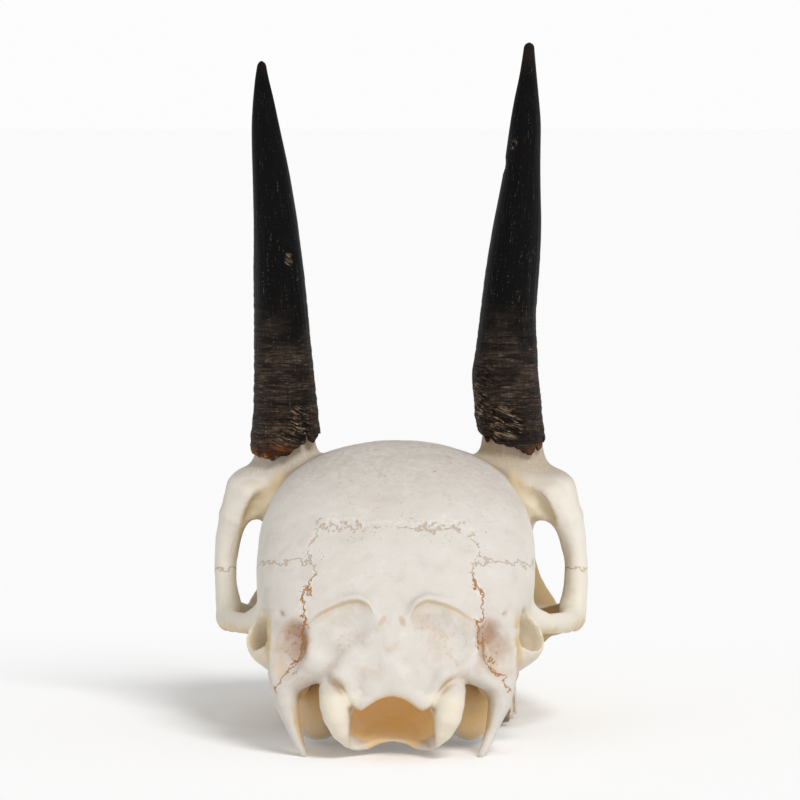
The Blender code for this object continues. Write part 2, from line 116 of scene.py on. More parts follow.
class Wire:
    """An output of a node that is reckoned with like a number, each step adding its Math node."""

    def __init__(self, graph, socket):
        self.graph = graph
        self.socket = socket

    def math(self, operation, *inputs, clamp=False):
        settings = {"operation": operation, "use_clamp": clamp}
        return self.graph.node("ShaderNodeMath", settings, inputs)

    def vector(self, operation, *inputs, out=0):
        return self.graph.node("ShaderNodeVectorMath", {"operation": operation}, inputs, out)

    def __add__(self, other):
        return self.math("ADD", self, other)

    __radd__ = __add__

    def __sub__(self, other):
        return self.math("SUBTRACT", self, other)

    def __rsub__(self, other):
        return self.math("SUBTRACT", other, self)

    def __mul__(self, other):
        return self.math("MULTIPLY", self, other)

    __rmul__ = __mul__

    def __truediv__(self, other):
        return self.math("DIVIDE", self, other)

    def __pow__(self, power):
        return self.math("POWER", self, power)

    def __neg__(self):
        return self.math("MULTIPLY", self, -1.0)

    def __abs__(self):
        return self.math("ABSOLUTE", self)

    def least(self, other):
        return self.math("MINIMUM", self, other)

    def most(self, other):
        return self.math("MAXIMUM", self, other)

    def clamped(self):
        return self.math("ADD", self, 0.0, clamp=True)

    def step(self, low, high):
        """Rises smoothly from 0 at low to 1 at high, or falls where low is the greater."""
        settings = {"interpolation_type": "SMOOTHSTEP"}
        if low < high:
            return self.graph.node("ShaderNodeMapRange", settings, [self, low, high, 0.0, 1.0])
        return self.graph.node("ShaderNodeMapRange", settings, [self, high, low, 1.0, 0.0])

    def between(self, low, rise, fall, high):
        """Rises smoothly from 0 at low to 1 at rise, and goes back from 1 at fall to 0 at high."""
        return self.step(low, rise) * self.step(high, fall)

    def parts(self):
        split = self.graph.node("ShaderNodeSeparateXYZ", {}, [self]).socket.node
        return [Wire(self.graph, output) for output in split.outputs]

    def length(self):
        return self.vector("LENGTH", self, out="Value")

    def times(self, factor):
        """A vector made longer or shorter."""
        return self.graph.scaled(self, factor)

    def joined(self, other, blend):
        """A form together with another, as distances, with a soft seam."""
        return self.math("SMOOTH_MIN", self, other, blend)

    def carved(self, hollow, blend):
        """A form without another."""
        return self.math("SMOOTH_MAX", self, -hollow, blend)


def along(y, stations):
    """A size that runs smoothly through (y, size) stations."""
    first, last = stations[0][0], stations[-1][0]
    low = min(size for _, size in stations)
    high = max(size for _, size in stations) + 1e-6
    share = y.math("MULTIPLY", y - first, 1 / (last - first), clamp=True)
    curve = [((place - first) / (last - first), (size - low) / (high - low)) for place, size in stations]
    height = y.graph.node("ShaderNodeFloatCurve", {"curve": curve}, [1.0, share])
    return height * (high - low) + low


def lump(space, centre, radii, turn=None):
    """Distance to an ellipsoid, turned by Euler angles in degrees."""
    offset = space.vector("SUBTRACT", space, centre)
    if turn:
        angles = Euler([math.radians(a) for a in turn]).to_matrix().inverted().to_euler()
        offset = space.graph.node("ShaderNodeVectorRotate", {"rotation_type": "EULER_XYZ"},
                                  {"Vector": offset, "Rotation": angles})
    share = space.vector("DIVIDE", offset, radii)
    reach = share.length()
    return reach * (reach - 1.0) / share.vector("DIVIDE", share, radii).length()


def bar(space, points, flatten=None):
    """Distance to a rod through (x, y, z, radius) points, wider where flatten is below 1."""
    squash = Vector(flatten or (1, 1, 1))
    if flatten:
        space = space.vector("MULTIPLY", space, squash)
    whole = None
    for start, end in zip(points, points[1:]):
        foot = Vector(start[:3]) * squash
        run = Vector(end[:3]) * squash - foot
        offset = space.vector("SUBTRACT", space, foot)
        dot = offset.vector("DOT_PRODUCT", offset, run, out="Value")
        share = dot.math("MULTIPLY", dot, 1 / run.length_squared, clamp=True)
        aside = offset.vector("SUBTRACT", offset, offset.graph.scaled(run, share))
        reach = aside.length() - start[3] - share * (end[3] - start[3])
        whole = reach if whole is None else whole.least(reach)
    return whole * (1 / math.sqrt(max(squash))) if flatten else whole


def hull(space, half_widths, tops, bottoms, power, ends=5.0):
    """Distance to a long body whose section runs through (y, size) stations."""
    x, y, z = space.parts()
    half_width = along(y, half_widths)
    top = along(y, tops)
    bottom = along(y, bottoms)
    half_height = (top - bottom) * 0.5
    across = abs(x / half_width) ** power
    upward = abs((z - bottom) / half_height - 1.0) ** power
    body = ((across + upward) ** (1 / power) - 1.0) * half_width.least(half_height)
    first, last = half_widths[0][0], half_widths[-1][0]
    caps = abs(y - (first + last) / 2) - (last - first) / 2
    return body.math("SMOOTH_MAX", body, caps, ends)


def braincase(space):
    whole = hull(space, *VAULT, 2.3)
    mastoid = bar(space, [(19, 14.8, 23, 2.9), (18.9, 12.8, 18, 2.9), (18.5, 12.4, 12.6, 3)],
                  (0.95, 0.8, 1))
    base = bar(space, [(0, 14, 6, 3.2), (0, 26, 8.5, 3.4), (0, 40, 12, 3.3), (0, 54, 16, 3)],
               (0.62, 1, 1))
    flank = lump(space, (0, 17, 9.6), (14, 8.4, 6.6))
    flank = flank.joined(lump(space, (0, 9.4, 8.6), (11.6, 8, 6)), 2)
    bulla = lump(space, (14.2, 23.5, 8.4), (5.7, 10, 7.6), (0, 0, -8))
    bulla_point = bar(space, [(15, 25, 4.4, 2.6), (15.2, 26.6, 1.7, 0.9)])
    ear_tube = bar(space, [(14, 27, 12, 4), (19.4, 22.2, 16.6, 4.2), (22.9, 18.6, 20, 4.6)],
                   (1, 1, 0.92))
    jaw_joint = lump(space, (19.5, 36, 19.5), (7, 6, 3.4))
    joint_spur = bar(space, [(20.5, 29.6, 18.6, 2), (21.4, 28.6, 15.2, 1.2)], (0.6, 1, 1))
    wing = lump(space, (7.4, 51, 14), (1.7, 9, 9), (14, 0, 0))
    hook = bar(space, [(7.6, 46, 9, 1.2), (8.2, 44, 5.6, 0.8)])
    for form, blend in [(mastoid, 3), (base, 3), (flank, 3), (bulla, 1.6), (bulla_point, 1.5),
                        (ear_tube, 1.6), (jaw_joint, 3), (joint_spur, 1.5), (wing, 2), (hook, 1)]:
        whole = whole.joined(form, blend)
    return whole


def occiput(space):
    """Nape crests, the two knuckles that carried the neck, and the processes beside them."""
    crest = bar(space, [(3.6, 5.6, 26.6, 0.7), (4.6, 6, 28.2, 0.9), (6.4, 6.7, 28.9, 1),
                        (8.8, 7, 28.4, 1), (11, 7.7, 27.6, 0.9), (13.3, 9, 26.3, 0.8),
                        (15.4, 10.6, 24.6, 0.8)])
    keel = bar(space, [(0, 6.2, 26, 1.3), (0, 3.4, 20, 1.4), (0, 1.6, 15, 1.6)], (0.5, 1, 1))
    knuckle = bar(space, [(11.1, 4.2, 12.4, 2.2), (10.5, 1.8, 10.2, 2.6), (10.1, 1.2, 7.9, 2.4),
                          (9.1, 1.9, 5.4, 2), (7.7, 4.2, 3.1, 1.35), (6.2, 6.8, 2.1, 0.9)],
                  (0.95, 0.9, 1))
    knuckle = knuckle.joined(bar(space, [(9.6, 4.6, 11.4, 1.8), (9.3, 5, 6.6, 1.8)]), 1)
    front_lip = bar(space, [(0, 10.6, 3.7, 1), (2.8, 9.4, 2.9, 1), (4.8, 8, 1.9, 0.95), (7, 5.8, 2.4, 1)])
    lip_base = bar(space, [(0, 12.6, 4, 1.5), (6, 10.6, 3.2, 1.7), (8.4, 7.4, 4, 1.6)])
    front_lip = front_lip.joined(lip_base, 1)
    roof_lip = bar(space, [(0, 1.7, 13, 1.4), (3, 1.4, 12, 1.3), (5.6, 0.9, 10.4, 1.3),
                           (7.8, 1.8, 11.8, 1.6), (9.4, 2.2, 15, 2)])
    muscle_ridge = bar(space, [(21.7, 12.6, 24, 0.9), (21.9, 11.6, 20, 0.9), (21.6, 11.2, 16, 1),
                               (21, 11, 12.4, 1)])
    middle_ridge = bar(space, [(3.6, 5.6, 26.6, 0.6), (2.4, 4.6, 24.6, 0.6), (1, 3.4, 21.6, 0.6)])
    process = bar(space, [(20, 11.4, 14.6, 2.7), (19.4, 9.4, 9.6, 2.2), (18.3, 8.2, 5.8, 1.35),
                          (17.1, 7.1, 2.4, 0.95), (16, 6.3, 0.3, 0.62)], (1, 0.6, 1))
    skirt = bar(space, [(9, 5.8, 18, 3), (14.6, 6.8, 16, 2.7), (19, 8.6, 13.6, 2.6)])
    whole = skirt
    for form, blend in [(roof_lip, 1), (front_lip, 1), (process, 1.8), (keel, 2), (crest, 1.2),
                        (muscle_ridge, 1), (middle_ridge, 1.2)]:
        whole = whole.joined(form, blend)
    return whole, knuckle


def face(space):
    whole = hull(space, *SHELF, 2.3)
    whole = whole.joined(hull(space, *SEPTUM, 4), 3)
    whole = whole.joined(hull(space, *JAW, 3), 4)
    return whole.joined(hull(space, *MUZZLE, 2.5), 3)


def cheek(space):
    """The arch under the eye socket, the bar behind it and the rim before it."""
    rear_bar = bar(space, [(32.7, 55.5, 21, 2.6), (33.3, 56, 26.5, 2.3), (33.3, 56.4, 31, 2.3),
                           (32.5, 57, 35, 2.9), (31, 57.4, 39, 3.9), (28.6, 58, 43, 5)],
                   (1, 0.66, 1))
    rear_arch = bar(space, [(23, 27, 23.6, 2.6), (28, 34, 21.2, 1.7), (31.4, 42, 20.6, 1.7),
                            (32.8, 52, 20.6, 2.1)], (1, 1, 0.85))
    front_arch = bar(space, [(32.4, 52, 20.6, 2.1), (31.2, 60, 20, 2.1), (28.8, 68, 18.2, 2.2),
                             (25, 75.4, 15.6, 2.2), (21, 82, 13.6, 2.4)], (1, 1, 0.75))
    plate = bar(space, [(31.4, 64, 20.4, 2.1), (30, 73, 19.4, 2.8), (27.6, 81, 20.6, 3.4),
                        (23.6, 88, 24, 3.6)], (1.4, 1, 0.6))
    front_rim = bar(space, [(29.4, 60, 45, 2.2), (29.6, 69, 44.6, 2), (27.8, 77.6, 42.2, 2),
                            (24.8, 84.8, 38.4, 2), (23.4, 88.2, 32.4, 2.2), (23.9, 88, 25, 2.6)])
    flare = lump(space, (21.6, 78, 16.6), (6.6, 13, 6.6), (0, 0, 12))
    tear_bone = bar(space, [(22, 86, 37.6, 2.2), (20.6, 89.4, 32.4, 2.8), (20.4, 89.6, 26, 3)])
    whole = rear_bar.joined(rear_arch, 2.5)
    for form in (front_arch, plate, front_rim, flare, tear_bone):
        whole = whole.joined(form, 2)
    return whole


def snout(space):
    rising = bar(space, [(3.4, 130, 9.4, 0.8), (5.2, 127, 10, 1.4), (7.6, 122, 11.8, 1.4),
                         (8.6, 116, 16, 1.1), (8.4, 109, 22, 1.2)], (1, 1, 0.6))
    palate_bar = bar(space, [(1.3, 129, 9.6, 0.6), (1.8, 124, 9.4, 1), (1.8, 110, 9.4, 1.3)])
    return rising.joined(palate_bar, 1.2)


def pedicle(space):
    return bar(space, [(21.8, 61.4, 42, 7.6), (21.5, 60.4, 48, 6.4), (21.6, 59.6, 53, 5.7),
                       (21.8, 58.6, 57.4, 5.2)])


def hollows(space):
    """The openings with the blends of their edges, the foramen, and the places for ochre stain with painted
    shade, for rust, and for scars with painted shade.
    """
    foramen = bar(space, [(0, -2, -3, 6.8), (0, 5.5, 6.3, 6.8), (0, 9, 9.6, 7.2),
                          (0, 12, 12, 7.2)], (0.88, 1, 1))
    foramen = foramen.least(hull(space, [(-8, 7.7), (4, 7.7), (12, 6.8)], [(-8, 9), (4, 9.4), (12, 14)],
                                 [(-8, -1), (4, 1), (9, 3), (12, 6)], 3.4, 1))
    x, y, z = space.parts()
    foramen = foramen.most(along(y, [(-8, -3), (3, 0.8), (8, 2.6), (12, 4.4), (24, 9)]) - z)
    ear_hole = bar(space, [(16, 25.4, 13.4, 1.6), (22.9, 18.6, 20, 3.3), (27, 14.8, 23.8, 3.5)],
                   (1, 1, 0.92))
    knuckle_bed = lump(space, (12.8, -0.4, 10.8), (4.6, 5.4, 4.9), (0, 0, 12)).joined(
        bar(space, [(14.6, 2.6, 10.6, 1.6), (15, 6, 6, 1.9)]), 2)
    mastoid_pit = lump(space, (19.4, 6, 19.2), (3.2, 3.8, 6), (8, -20, -10))
    orbit = lump(space, (33.5, 73, 31.6), (21.5, 15.6, 12), (-12, 0, 0))
    temple = bar(space, [(31, 42, 42, 5), (29.4, 48, 34.6, 3.6), (27.4, 56, 28.6, 3.2),
                         (26.8, 62, 25, 5)])
    bar_step = bar(space, [(21.6, 50.6, 48.4, 0.8), (23.9, 50.6, 44.8, 1.4), (26.6, 51.2, 42.2, 1.5),
                           (28.1, 52, 39.4, 1.3), (28.7, 52.4, 34, 1.1), (28.5, 52.6, 29, 1.1),
                           (26.6, 52, 25.4, 1.1)])
    ear_pits = bar(space, [(24.4, 15, 26, 0.6), (23.4, 18, 25, 0.4)]).least(
        lump(space, (20.6, 9.6, 25.7), (0.9, 1.4, 0.45), (0, -25, 0)))
    temple_gap = lump(space, (27, 57, 29.8), (3.6, 13, 9), (0, 4, 0))
    under_arch = bar(space, [(29, 44, 14, 4.6), (26.4, 60, 20.4, 4)])
    behind_jaw = lump(space, (17, 43, 15), (8, 7, 5), (-30, 0, 0))
    nostril = hull(space, [(90, 8.6), (100, 8.2), (110, 6.8), (118, 6.2), (142, 7)],
                   [(90, 28), (100, 29.5), (110, 27.8), (118, 25.6), (142, 22)],
                   [(90, 13), (100, 12.4), (110, 12.4), (118, 12.6), (142, 11)], 2.6, 8)
    lip = lump(space, (0, 128, 18), (12, 11.5, 6.5), (-8, 0, 0))
    side_notch = lump(space, (9, 121.5, 20), (8, 11, 4.6), (-10, 0, 0))
    choana = bar(space, [(0, 38, 6, 5.4), (0, 50, 11, 5), (0, 62, 17, 4.6)])
    tear_pit = lump(space, (21.8, 99.4, 26.4), (6.8, 8.8, 7), (0, 0, 26))
    slit = bar(space, [(12.6, 96, 36.4, 0.8), (9.4, 104.6, 33, 0.7)])
    nasal_notch = lump(space, (0, 120.4, 29), (2, 5.4, 6))
    nasal_side = lump(space, (9.4, 119, 27), (3.2, 7, 7))
    nape_pit = lump(space, (8.2, 1.1, 24.4), (5.6, 5.2, 4.4), (0, 14, 0)).joined(
        lump(space, (12.8, 2.3, 21.4), (3.6, 3.4, 4.6), (0, 30, 0)), 3)
    nape_dimple = lump(space, (1.25, 2.9, 25.1), (0.8, 1.8, 1.1))
    fissure = bar(space, [(4.6, 114, 9, 1.5), (4.4, 125, 10, 1.5)], (1, 1, 0.4))
    brow_hole = bar(space, [(8.8, 72, 52, 1), (9.4, 66, 40, 0.9)])
    brow_groove = bar(space, [(8.4, 86, 41.6, 0.8), (8.8, 73, 48.4, 1)])
    cheek_hole = bar(space, [(14, 104, 19, 1.5), (7, 96, 20, 1)])
    tear_hole = bar(space, [(23.4, 86, 31, 0.9), (20, 90, 29, 0.7)])
    optic = bar(space, [(16, 58, 26, 1.8), (4, 50, 22, 1.6)])
    oval_hole = bar(space, [(12, 36, 10, 1.5), (9, 38, 20, 1.3)])
    edges = [(orbit, 1.5), (temple, 2), (temple_gap, 1.5), (under_arch, 2), (behind_jaw, 3),
             (foramen, 0.8), (ear_hole, 0.5), (nostril, 0.8), (lip, 1), (side_notch, 1.5),
             (bar_step, 0.7), (ear_pits, 0.4), (choana, 1.5), (tear_pit, 2), (slit, 0.5),
             (nasal_notch, 0.8), (nasal_side, 0.8), (mastoid_pit, 2.4), (nape_pit, 1.6),
             (nape_dimple, 0.6), (knuckle_bed, 1.8), (fissure, 1), (brow_hole, 0.6),
             (brow_groove, 0.8), (cheek_hole, 0.8), (tear_hole, 0.6), (optic, 1), (oval_hole, 0.8)]
    fossa = lump(space, (14.4, 13, 7), (4.4, 8, 7))
    ochre = foramen.least(knuckle_bed + 1.0).least(choana).least(fossa + 0.4)
    return edges, foramen, ochre, mastoid_pit, nape_pit


def palate(space):
    return hull(space, [(40, 11), (56, 11), (74, 11), (86, 9.4), (96, 7.8), (106, 5)],
                [(40, 11), (60, 10), (86, 10.4), (106, 10)], [(40, -12), (106, -12)], 4)


def sockets(space):
    """The ridge that holds the roots of the cheek teeth."""
    return bar(space, [(18.1, 50, 8.6, 3.2), (18.4, 61, 8.2, 3.4), (17.6, 71, 8.1, 3.3), (15.9, 79, 8.2, 3),
                       (13.7, 85.6, 8.4, 2.8), (11.5, 91.8, 8.8, 2.6), (8.6, 99, 10, 2)], (0.84, 1, 1))


def cranium_form():
    """A node group: place in, distance to the bone out, and distances to its stained hollows, some of which
    also take painted shade.
    """
    tree = bpy.data.node_groups.new("cranium_form", "GeometryNodeTree")
    tree.interface.new_socket("Place", in_out="INPUT", socket_type="NodeSocketVector")
    for name in ("Bone", "Ochre", "Rust", "Scar"):
        tree.interface.new_socket(name, in_out="OUTPUT", socket_type="NodeSocketFloat")
    graph = Graph(tree)
    place = graph.node("NodeGroupInput")
    x, y, z = place.parts()
    outward = x.math("MULTIPLY", abs(x) - 24, 1 / 8, clamp=True)
    mirrored = abs(x - outward * CHEEK_SHIFT)
    space = graph.node("ShaderNodeCombineXYZ", {}, [mirrored, y, z])
    nape, knuckle = occiput(space)
    whole = braincase(space).joined(nape, 1.6)
    whole = whole.joined(face(space), 3)
    whole = whole.joined(cheek(space), 2.5)
    whole = whole.joined(pedicle(space), 4)
    edges, foramen, ochre, rust, scar = hollows(space)
    ochre = ochre.most(1.8 - knuckle * 1.5)
    for hollow, blend in edges:
        whole = whole.carved(hollow, blend)
    whole = whole.carved(palate(space), 1.5).joined(sockets(space), 1.5)
    whole = whole.joined(snout(space), 1.5)
    whole = whole.joined(knuckle.carved(foramen, 0.8), 1.2)
    whole = whole.most(-z)
    graph.node("NodeGroupOutput", {}, [whole, ochre, rust, scar])
    return tree


def skin_graph(name):
    """A node group that gives a piece's skin."""
    tree = bpy.data.node_groups.new(name, "GeometryNodeTree")
    tree.interface.new_socket("Geometry", in_out="OUTPUT", socket_type="NodeSocketGeometry")
    return Graph(tree)


def skinned(graph, form, low, high, cell):
    """The skin where the distance to a form is 0, found in cells between two corners."""
    cells = [round(side / cell) for side in high - low]
    grid = graph.node("GeometryNodeVolumeCube", {}, [-form, -1.0, low, high, *cells])
    return graph.node("GeometryNodeVolumeToMesh", {}, {0: grid, "Threshold": 0.0})


def cranium_mesh():
    """The bone's skin with its fine relief, and at each point how hollow and how thin it is, and how much
    stain and painted shade it takes.
    """
    form = cranium_form()
    graph = skin_graph("cranium_skin")
    place = graph.node("GeometryNodeInputPosition")
    here = graph.node("GeometryNodeGroup", {"node_tree": form}, [place])
    skin = skinned(graph, here, BONE_LOW, BONE_HIGH, BONE_CELL)
    blurred = graph.node("GeometryNodeBlurAttribute", {"data_type": "FLOAT_VECTOR"},
                         {"Value": place, "Iterations": 3})
    blurred = Wire(graph, [o for o in blurred.socket.node.outputs if o.enabled][0])
    skin = graph.node("GeometryNodeSetPosition", {}, {"Geometry": skin, "Position": blurred})

    island = graph.node("GeometryNodeInputMeshIsland")
    size = graph.node("GeometryNodeAccumulateField", {}, {"Value": 1.0, "Group ID": island}, out="Total")
    scrap = graph.node("FunctionNodeCompare", {"operation": "LESS_THAN"}, [size, BONE_FEWEST_POINTS])
    skin = graph.node("GeometryNodeDeleteGeometry", {}, {"Geometry": skin, "Selection": scrap})

    normal = graph.node("GeometryNodeInputNormal")
    relief = 0.0
    for scale, height in ((0.085, 0.5), (0.26, 0.22), (0.8, 0.08)):
        waves = graph.node("ShaderNodeTexNoise", {}, {"Vector": place, "Scale": scale, "Detail": 1.0})
        relief = (waves - 0.5) * height + relief
    skin = graph.node("GeometryNodeSetPosition", {}, {"Geometry": skin, "Offset": normal.times(relief)})

    for name, reach in (("near_hollow", 1.6), ("wide_hollow", 6.0)):
        ahead = place.vector("ADD", place, normal.times(reach))
        there = graph.node("GeometryNodeGroup", {"node_tree": form}, [ahead])
        shut = 1.0 - there.math("DIVIDE", there, reach, clamp=True)
        skin = stored(graph, skin, name, shut)
    depth = 1.1
    inside = place.vector("ADD", place, normal.times(-depth))
    there = graph.node("GeometryNodeGroup", {"node_tree": form}, [inside])
    skin = stored(graph, skin, "edge", there.math("DIVIDE", there + depth, depth, clamp=True))
    walls = here.socket.node.outputs
    for name, clean, full in (("Ochre", 1.6, 0.2), ("Rust", 1.6, -0.6), ("Scar", 1.2, -0.6)):
        skin = stored(graph, skin, name.lower(), Wire(graph, walls[name]).step(clean, full))
    graph.node("NodeGroupOutput", {}, [skin])
    return made_mesh("cranium_bone", graph.tree)


def stored(graph, geometry, name, value):
    """The geometry with a number kept at each point under a name."""
    return graph.node("GeometryNodeStoreNamedAttribute", {"data_type": "FLOAT", "domain": "POINT"},
                      {"Geometry": geometry, "Name": name, "Value": value})


def new_piece(name, shape=None):
    """An object in the scene, with the mesh that was built for it where there is one."""
    piece = bpy.data.objects.new(name, bpy.data.meshes.new(name))
    bpy.context.scene.collection.objects.link(piece)
    if shape:
        shape.to_mesh(piece.data)
        shape.free()
        piece.data.shade_smooth()
    return piece


def made_mesh(name, tree):
    """A piece whose mesh is what a geometry tree makes in skull millimetres, set in the part's frame."""
    piece = new_piece(name)
    piece.modifiers.new("form", "NODES").node_group = tree
    depsgraph = bpy.context.evaluated_depsgraph_get()
    mesh = bpy.data.meshes.new_from_object(piece.evaluated_get(depsgraph), depsgraph=depsgraph)
    mesh.name = name
    piece.modifiers.clear()
    piece.data = mesh
    mesh.transform(Matrix.Scale(MM, 4) @ Matrix.Translation(-SKULL_MIDDLE))
    mesh.materials.clear()
    mesh.shade_smooth()
    return piece


cranium = cranium_mesh()


def linear(colour):
    """A colour in linear light, and opaque, from its 0 to 255 values."""
    return (*(((v / 255 + 0.055) / 1.055) ** 2.4 if v > 10 else v / 255 / 12.92 for v in colour), 1)


class Paint:
    """A material's colour, laid on coat by coat, and its roughness and bump."""

    def __init__(self, name, colour):
        self.material = bpy.data.materials.new(name)
        self.material.use_nodes = True
        tree = self.material.node_tree
        tree.nodes.clear()
        self.graph = Graph(tree)
        self.colour = self.graph.node("ShaderNodeRGB")
        self.colour.socket.default_value = linear(colour)
        skull = self.graph.node("ShaderNodeTexCoord", out="Object").times(1 / MM)
        self.place = skull.vector("ADD", skull, SKULL_MIDDLE)

    def noise(self, scale, detail=2.0, place=None, stretch=None, warp=0.0, rough=0.5, out="Fac"):
        """Noise from 0 to 1: scale waves to a millimetre, times stretch along each axis."""
        place = place or self.place
        if stretch:
            place = place.vector("MULTIPLY", place, stretch)
        return self.graph.node("ShaderNodeTexNoise", {}, {
            "Vector": place, "Scale": scale, "Detail": detail, "Roughness": rough, "Distortion": warp}, out)

    def kept(self, name, out="Fac"):
        """A value that the mesh keeps at its points."""
        return self.graph.node("ShaderNodeAttribute", {"attribute_name": name}, {}, out)

    def coat(self, colour, share):
        """Lays a colour over the paint by a share from 0 to 1."""
        # Sockets 6 and 7 are the Mix node's two colours, and output 2 is their mix.
        self.colour = self.graph.node("ShaderNodeMix", {"data_type": "RGBA"},
                                      {0: share, 6: self.colour, 7: linear(colour)}, 2)

    def finished(self, rough, height, bump, sockets):
        """Ends the material: a height of 1 stands bump millimetres, and sockets are the shader's others."""
        normal = self.graph.node("ShaderNodeBump", {}, {
            "Height": height, "Distance": bump * MM, "Strength": 1.0})
        shader = self.graph.node("ShaderNodeBsdfPrincipled", {}, {
            "Base Color": self.colour, "Normal": normal,
            "Roughness": rough.clamped() if isinstance(rough, Wire) else rough, **sockets})
        self.graph.node("ShaderNodeOutputMaterial", {}, [shader])
        return self.material


def bone_finish():
    paint = Paint("bone", (214, 208, 200))
    coat = paint.coat
    x, y, z = paint.place.parts()
    out = abs(x)
    near, wide, edge = paint.kept("near_hollow"), paint.kept("wide_hollow"), paint.kept("edge")
    ochre, rust, scar = paint.kept("ochre"), paint.kept("rust"), paint.kept("scar")
    cloud = paint.noise(0.07, 3.0, warp=0.6)
    mottle = paint.noise(0.28, 4.0, warp=0.4)
    patchy = mottle.step(0.35, 0.6)
    grit = paint.noise(1.5, 4.0)
    pitted = paint.noise(1.6, 3.0, warp=0.6)
    combed = paint.noise(1.0, 4.0, stretch=(0.9, 0.5, 1.6))
    seam, deep, nape = bone_seams(paint)
    behind = y.step(14, 10)

    # Broad clouds, shade over the nape, and mottling.
    coat((206, 196, 182), cloud.step(0.42, 0.7) * 0.4)
    coat((206, 199, 190), z.step(38, 26) * y.step(16, 12) * 0.3)
    coat((196, 186, 178), mottle.step(0.5, 0.75) * 0.4)
    coat((223, 219, 213), mottle.step(0.46, 0.25) * 0.5)

    # The crown, greyed by weather and darkened with painted shade where the top faces away from the light.
    crown = z.step(41, 52.5) * (0.45 + 0.55 * combed.step(0.35, 0.65))
    coat((182, 170, 158), crown * 0.5)

    # The stalks of the horns, streaked upright, with a brown line of painted shade in the groove behind
    # them.
    upright = paint.noise(1.0, 2.0, stretch=(2.8, 2.8, 0.18))
    stalk = z.step(45, 49.5) * out.step(12, 15) * y.step(50, 53)
    coat((160, 140, 114), stalk * x.step(0, 20) * 0.55)
    coat((178, 162, 138), stalk * (0.3 + 0.7 * upright.step(0.35, 0.65)) * 0.75)
    coat((220, 213, 200), stalk * upright.step(0.54, 0.7) * 0.35)
    line = abs(y - 51.5 + mottle - 0.5).step(1.8, 0.3)
    coat((150, 112, 70), line * out.step(10, 14) * z.step(42, 46) * 0.6)

    # Cream cheeks and jaw, painted light that brightens the bar behind the eye, and a yellow strip of
    # painted shade on the recessed face inside it.
    cream = (out.step(21.5, 25) * z.step(29, 22)).most(y.step(26, 50) * z.step(34, 26))
    coat((219, 208, 180), cream * 0.5)
    coat((232, 226, 213), out.step(23, 26) * z.between(19, 23, 45, 48) * y.step(60, 57) * 0.7)
    inner = out - along(z, [(22, 27.4), (26, 29.6), (33.6, 30.4), (38.2, 30.2), (41.2, 29.3),
                            (42.9, 28.2), (44, 26.6), (45.9, 24.8), (48.4, 22.6)])
    inner = inner.step(0.2, -0.5) * out.step(20.5, 22.5) * z.between(22, 24, 47, 49) * y.step(48, 50)
    coat((211, 192, 146), inner * y.step(62, 58) * (0.5 + 0.5 * patchy) * 0.6)

    # Painted shade in ochre on the walls of the eye sockets that face the back, less of it on the left, and
    # tan along the face.
    rearward = paint.graph.node("ShaderNodeNewGeometry", out="Normal").parts()[1].step(0.2, -0.3)
    socket = y.between(56, 62, 88, 94) * z.step(34, 27) * rearward * cloud.step(0.2, 0.45)
    coat((165, 131, 74), socket * (0.5 + 0.35 * x.step(-6, 6)))
    tan = y.step(62, 90) * z.step(38, 16) * (0.2 + 0.8 * cloud.step(0.35, 0.62))
    coat((194, 172, 130), tan * 0.4)
    coat((196, 178, 146), y.step(100, 128) * patchy * 0.4)

    # Cream knuckles, painted shade in the hollows, and the ear's cup lightened with painted light.
    coat((232, 221, 196), y.step(4.5, 2.5) * z.step(13, 11.5) * out.step(5.5, 7) * 0.6)
    coat((192, 170, 134), wide.step(0.25, 0.9) * (0.25 + 0.75 * cloud.step(0.35, 0.6)) * 0.6)
    coat((170, 140, 96), near.step(0.3, 0.95) * 0.6)
    cup = out.step(21, 22.5) * y.between(13, 14, 22, 24) * z.between(14.5, 16, 24.5, 26)
    cup = cup * wide.step(0.35, 0.75)
    coat((236, 226, 203), cup * 0.9)

    # Brown flecks on the crown.
    flecks = paint.noise(0.8, 3.0, stretch=(0.7, 1, 2.2), warp=0.7)
    coat((150, 122, 90), flecks.step(0.64, 0.72) * z.step(44, 50) * y.step(56, 50) * 0.55)

    # The nape's two arches drawn as a line of painted shadow with painted shade below them, its scars
    # darkened with painted shade in the pits under the arches, and tan under the cheek arches.
    arch = z - along(out, [(3, 24.8), (3.8, 26.8), (4.8, 28), (6.4, 28.5), (8.8, 28), (11, 27.2),
                           (13.3, 25.9), (15.4, 24.2), (17, 21.6)]) + mottle - 0.5
    coat((176, 146, 100), abs(arch).step(0.6, 0.1) * out.between(3, 4.4, 12, 16.6) * behind * 0.6)
    below = arch.step(-4.5, -0.2) * (-arch).step(-0.3, 0.3) * out.between(2, 5, 12, 17) * behind
    coat((190, 170, 138), below * (0.3 + 0.7 * mottle.step(0.36, 0.6)) * 0.4)
    coat((184, 156, 122), scar * pitted.step(0.52, 0.66) * mottle.step(0.4, 0.6) * 0.55)
    under = out.step(24, 27) * z.step(21.5, 19.5) * y.step(60, 50)
    coat((212, 184, 128), under * mottle.step(0.36, 0.56) * 0.6)

    # A tan spot to each side of the nape's middle, blotches, and a pale halo along its suture.
    lean = out - 1.8 + (z - 25.0) * 0.4
    spot = (lean * lean * 1.6 + (z - 25.0) * (z - 25.0) * 0.6 + mottle - 0.5).step(0.9, 0.1)
    coat((190, 164, 120), spot * behind * 0.5)
    coat((205, 184, 162), mottle.step(0.5, 0.7) * z.between(11, 15, 23, 28) * behind * 0.45)
    halo = abs(nape).step(0.9, 0.3) * pitted.step(0.42, 0.56) * y.step(26, 22) * z.step(15, 18)
    coat((234, 230, 221), halo * 0.4)
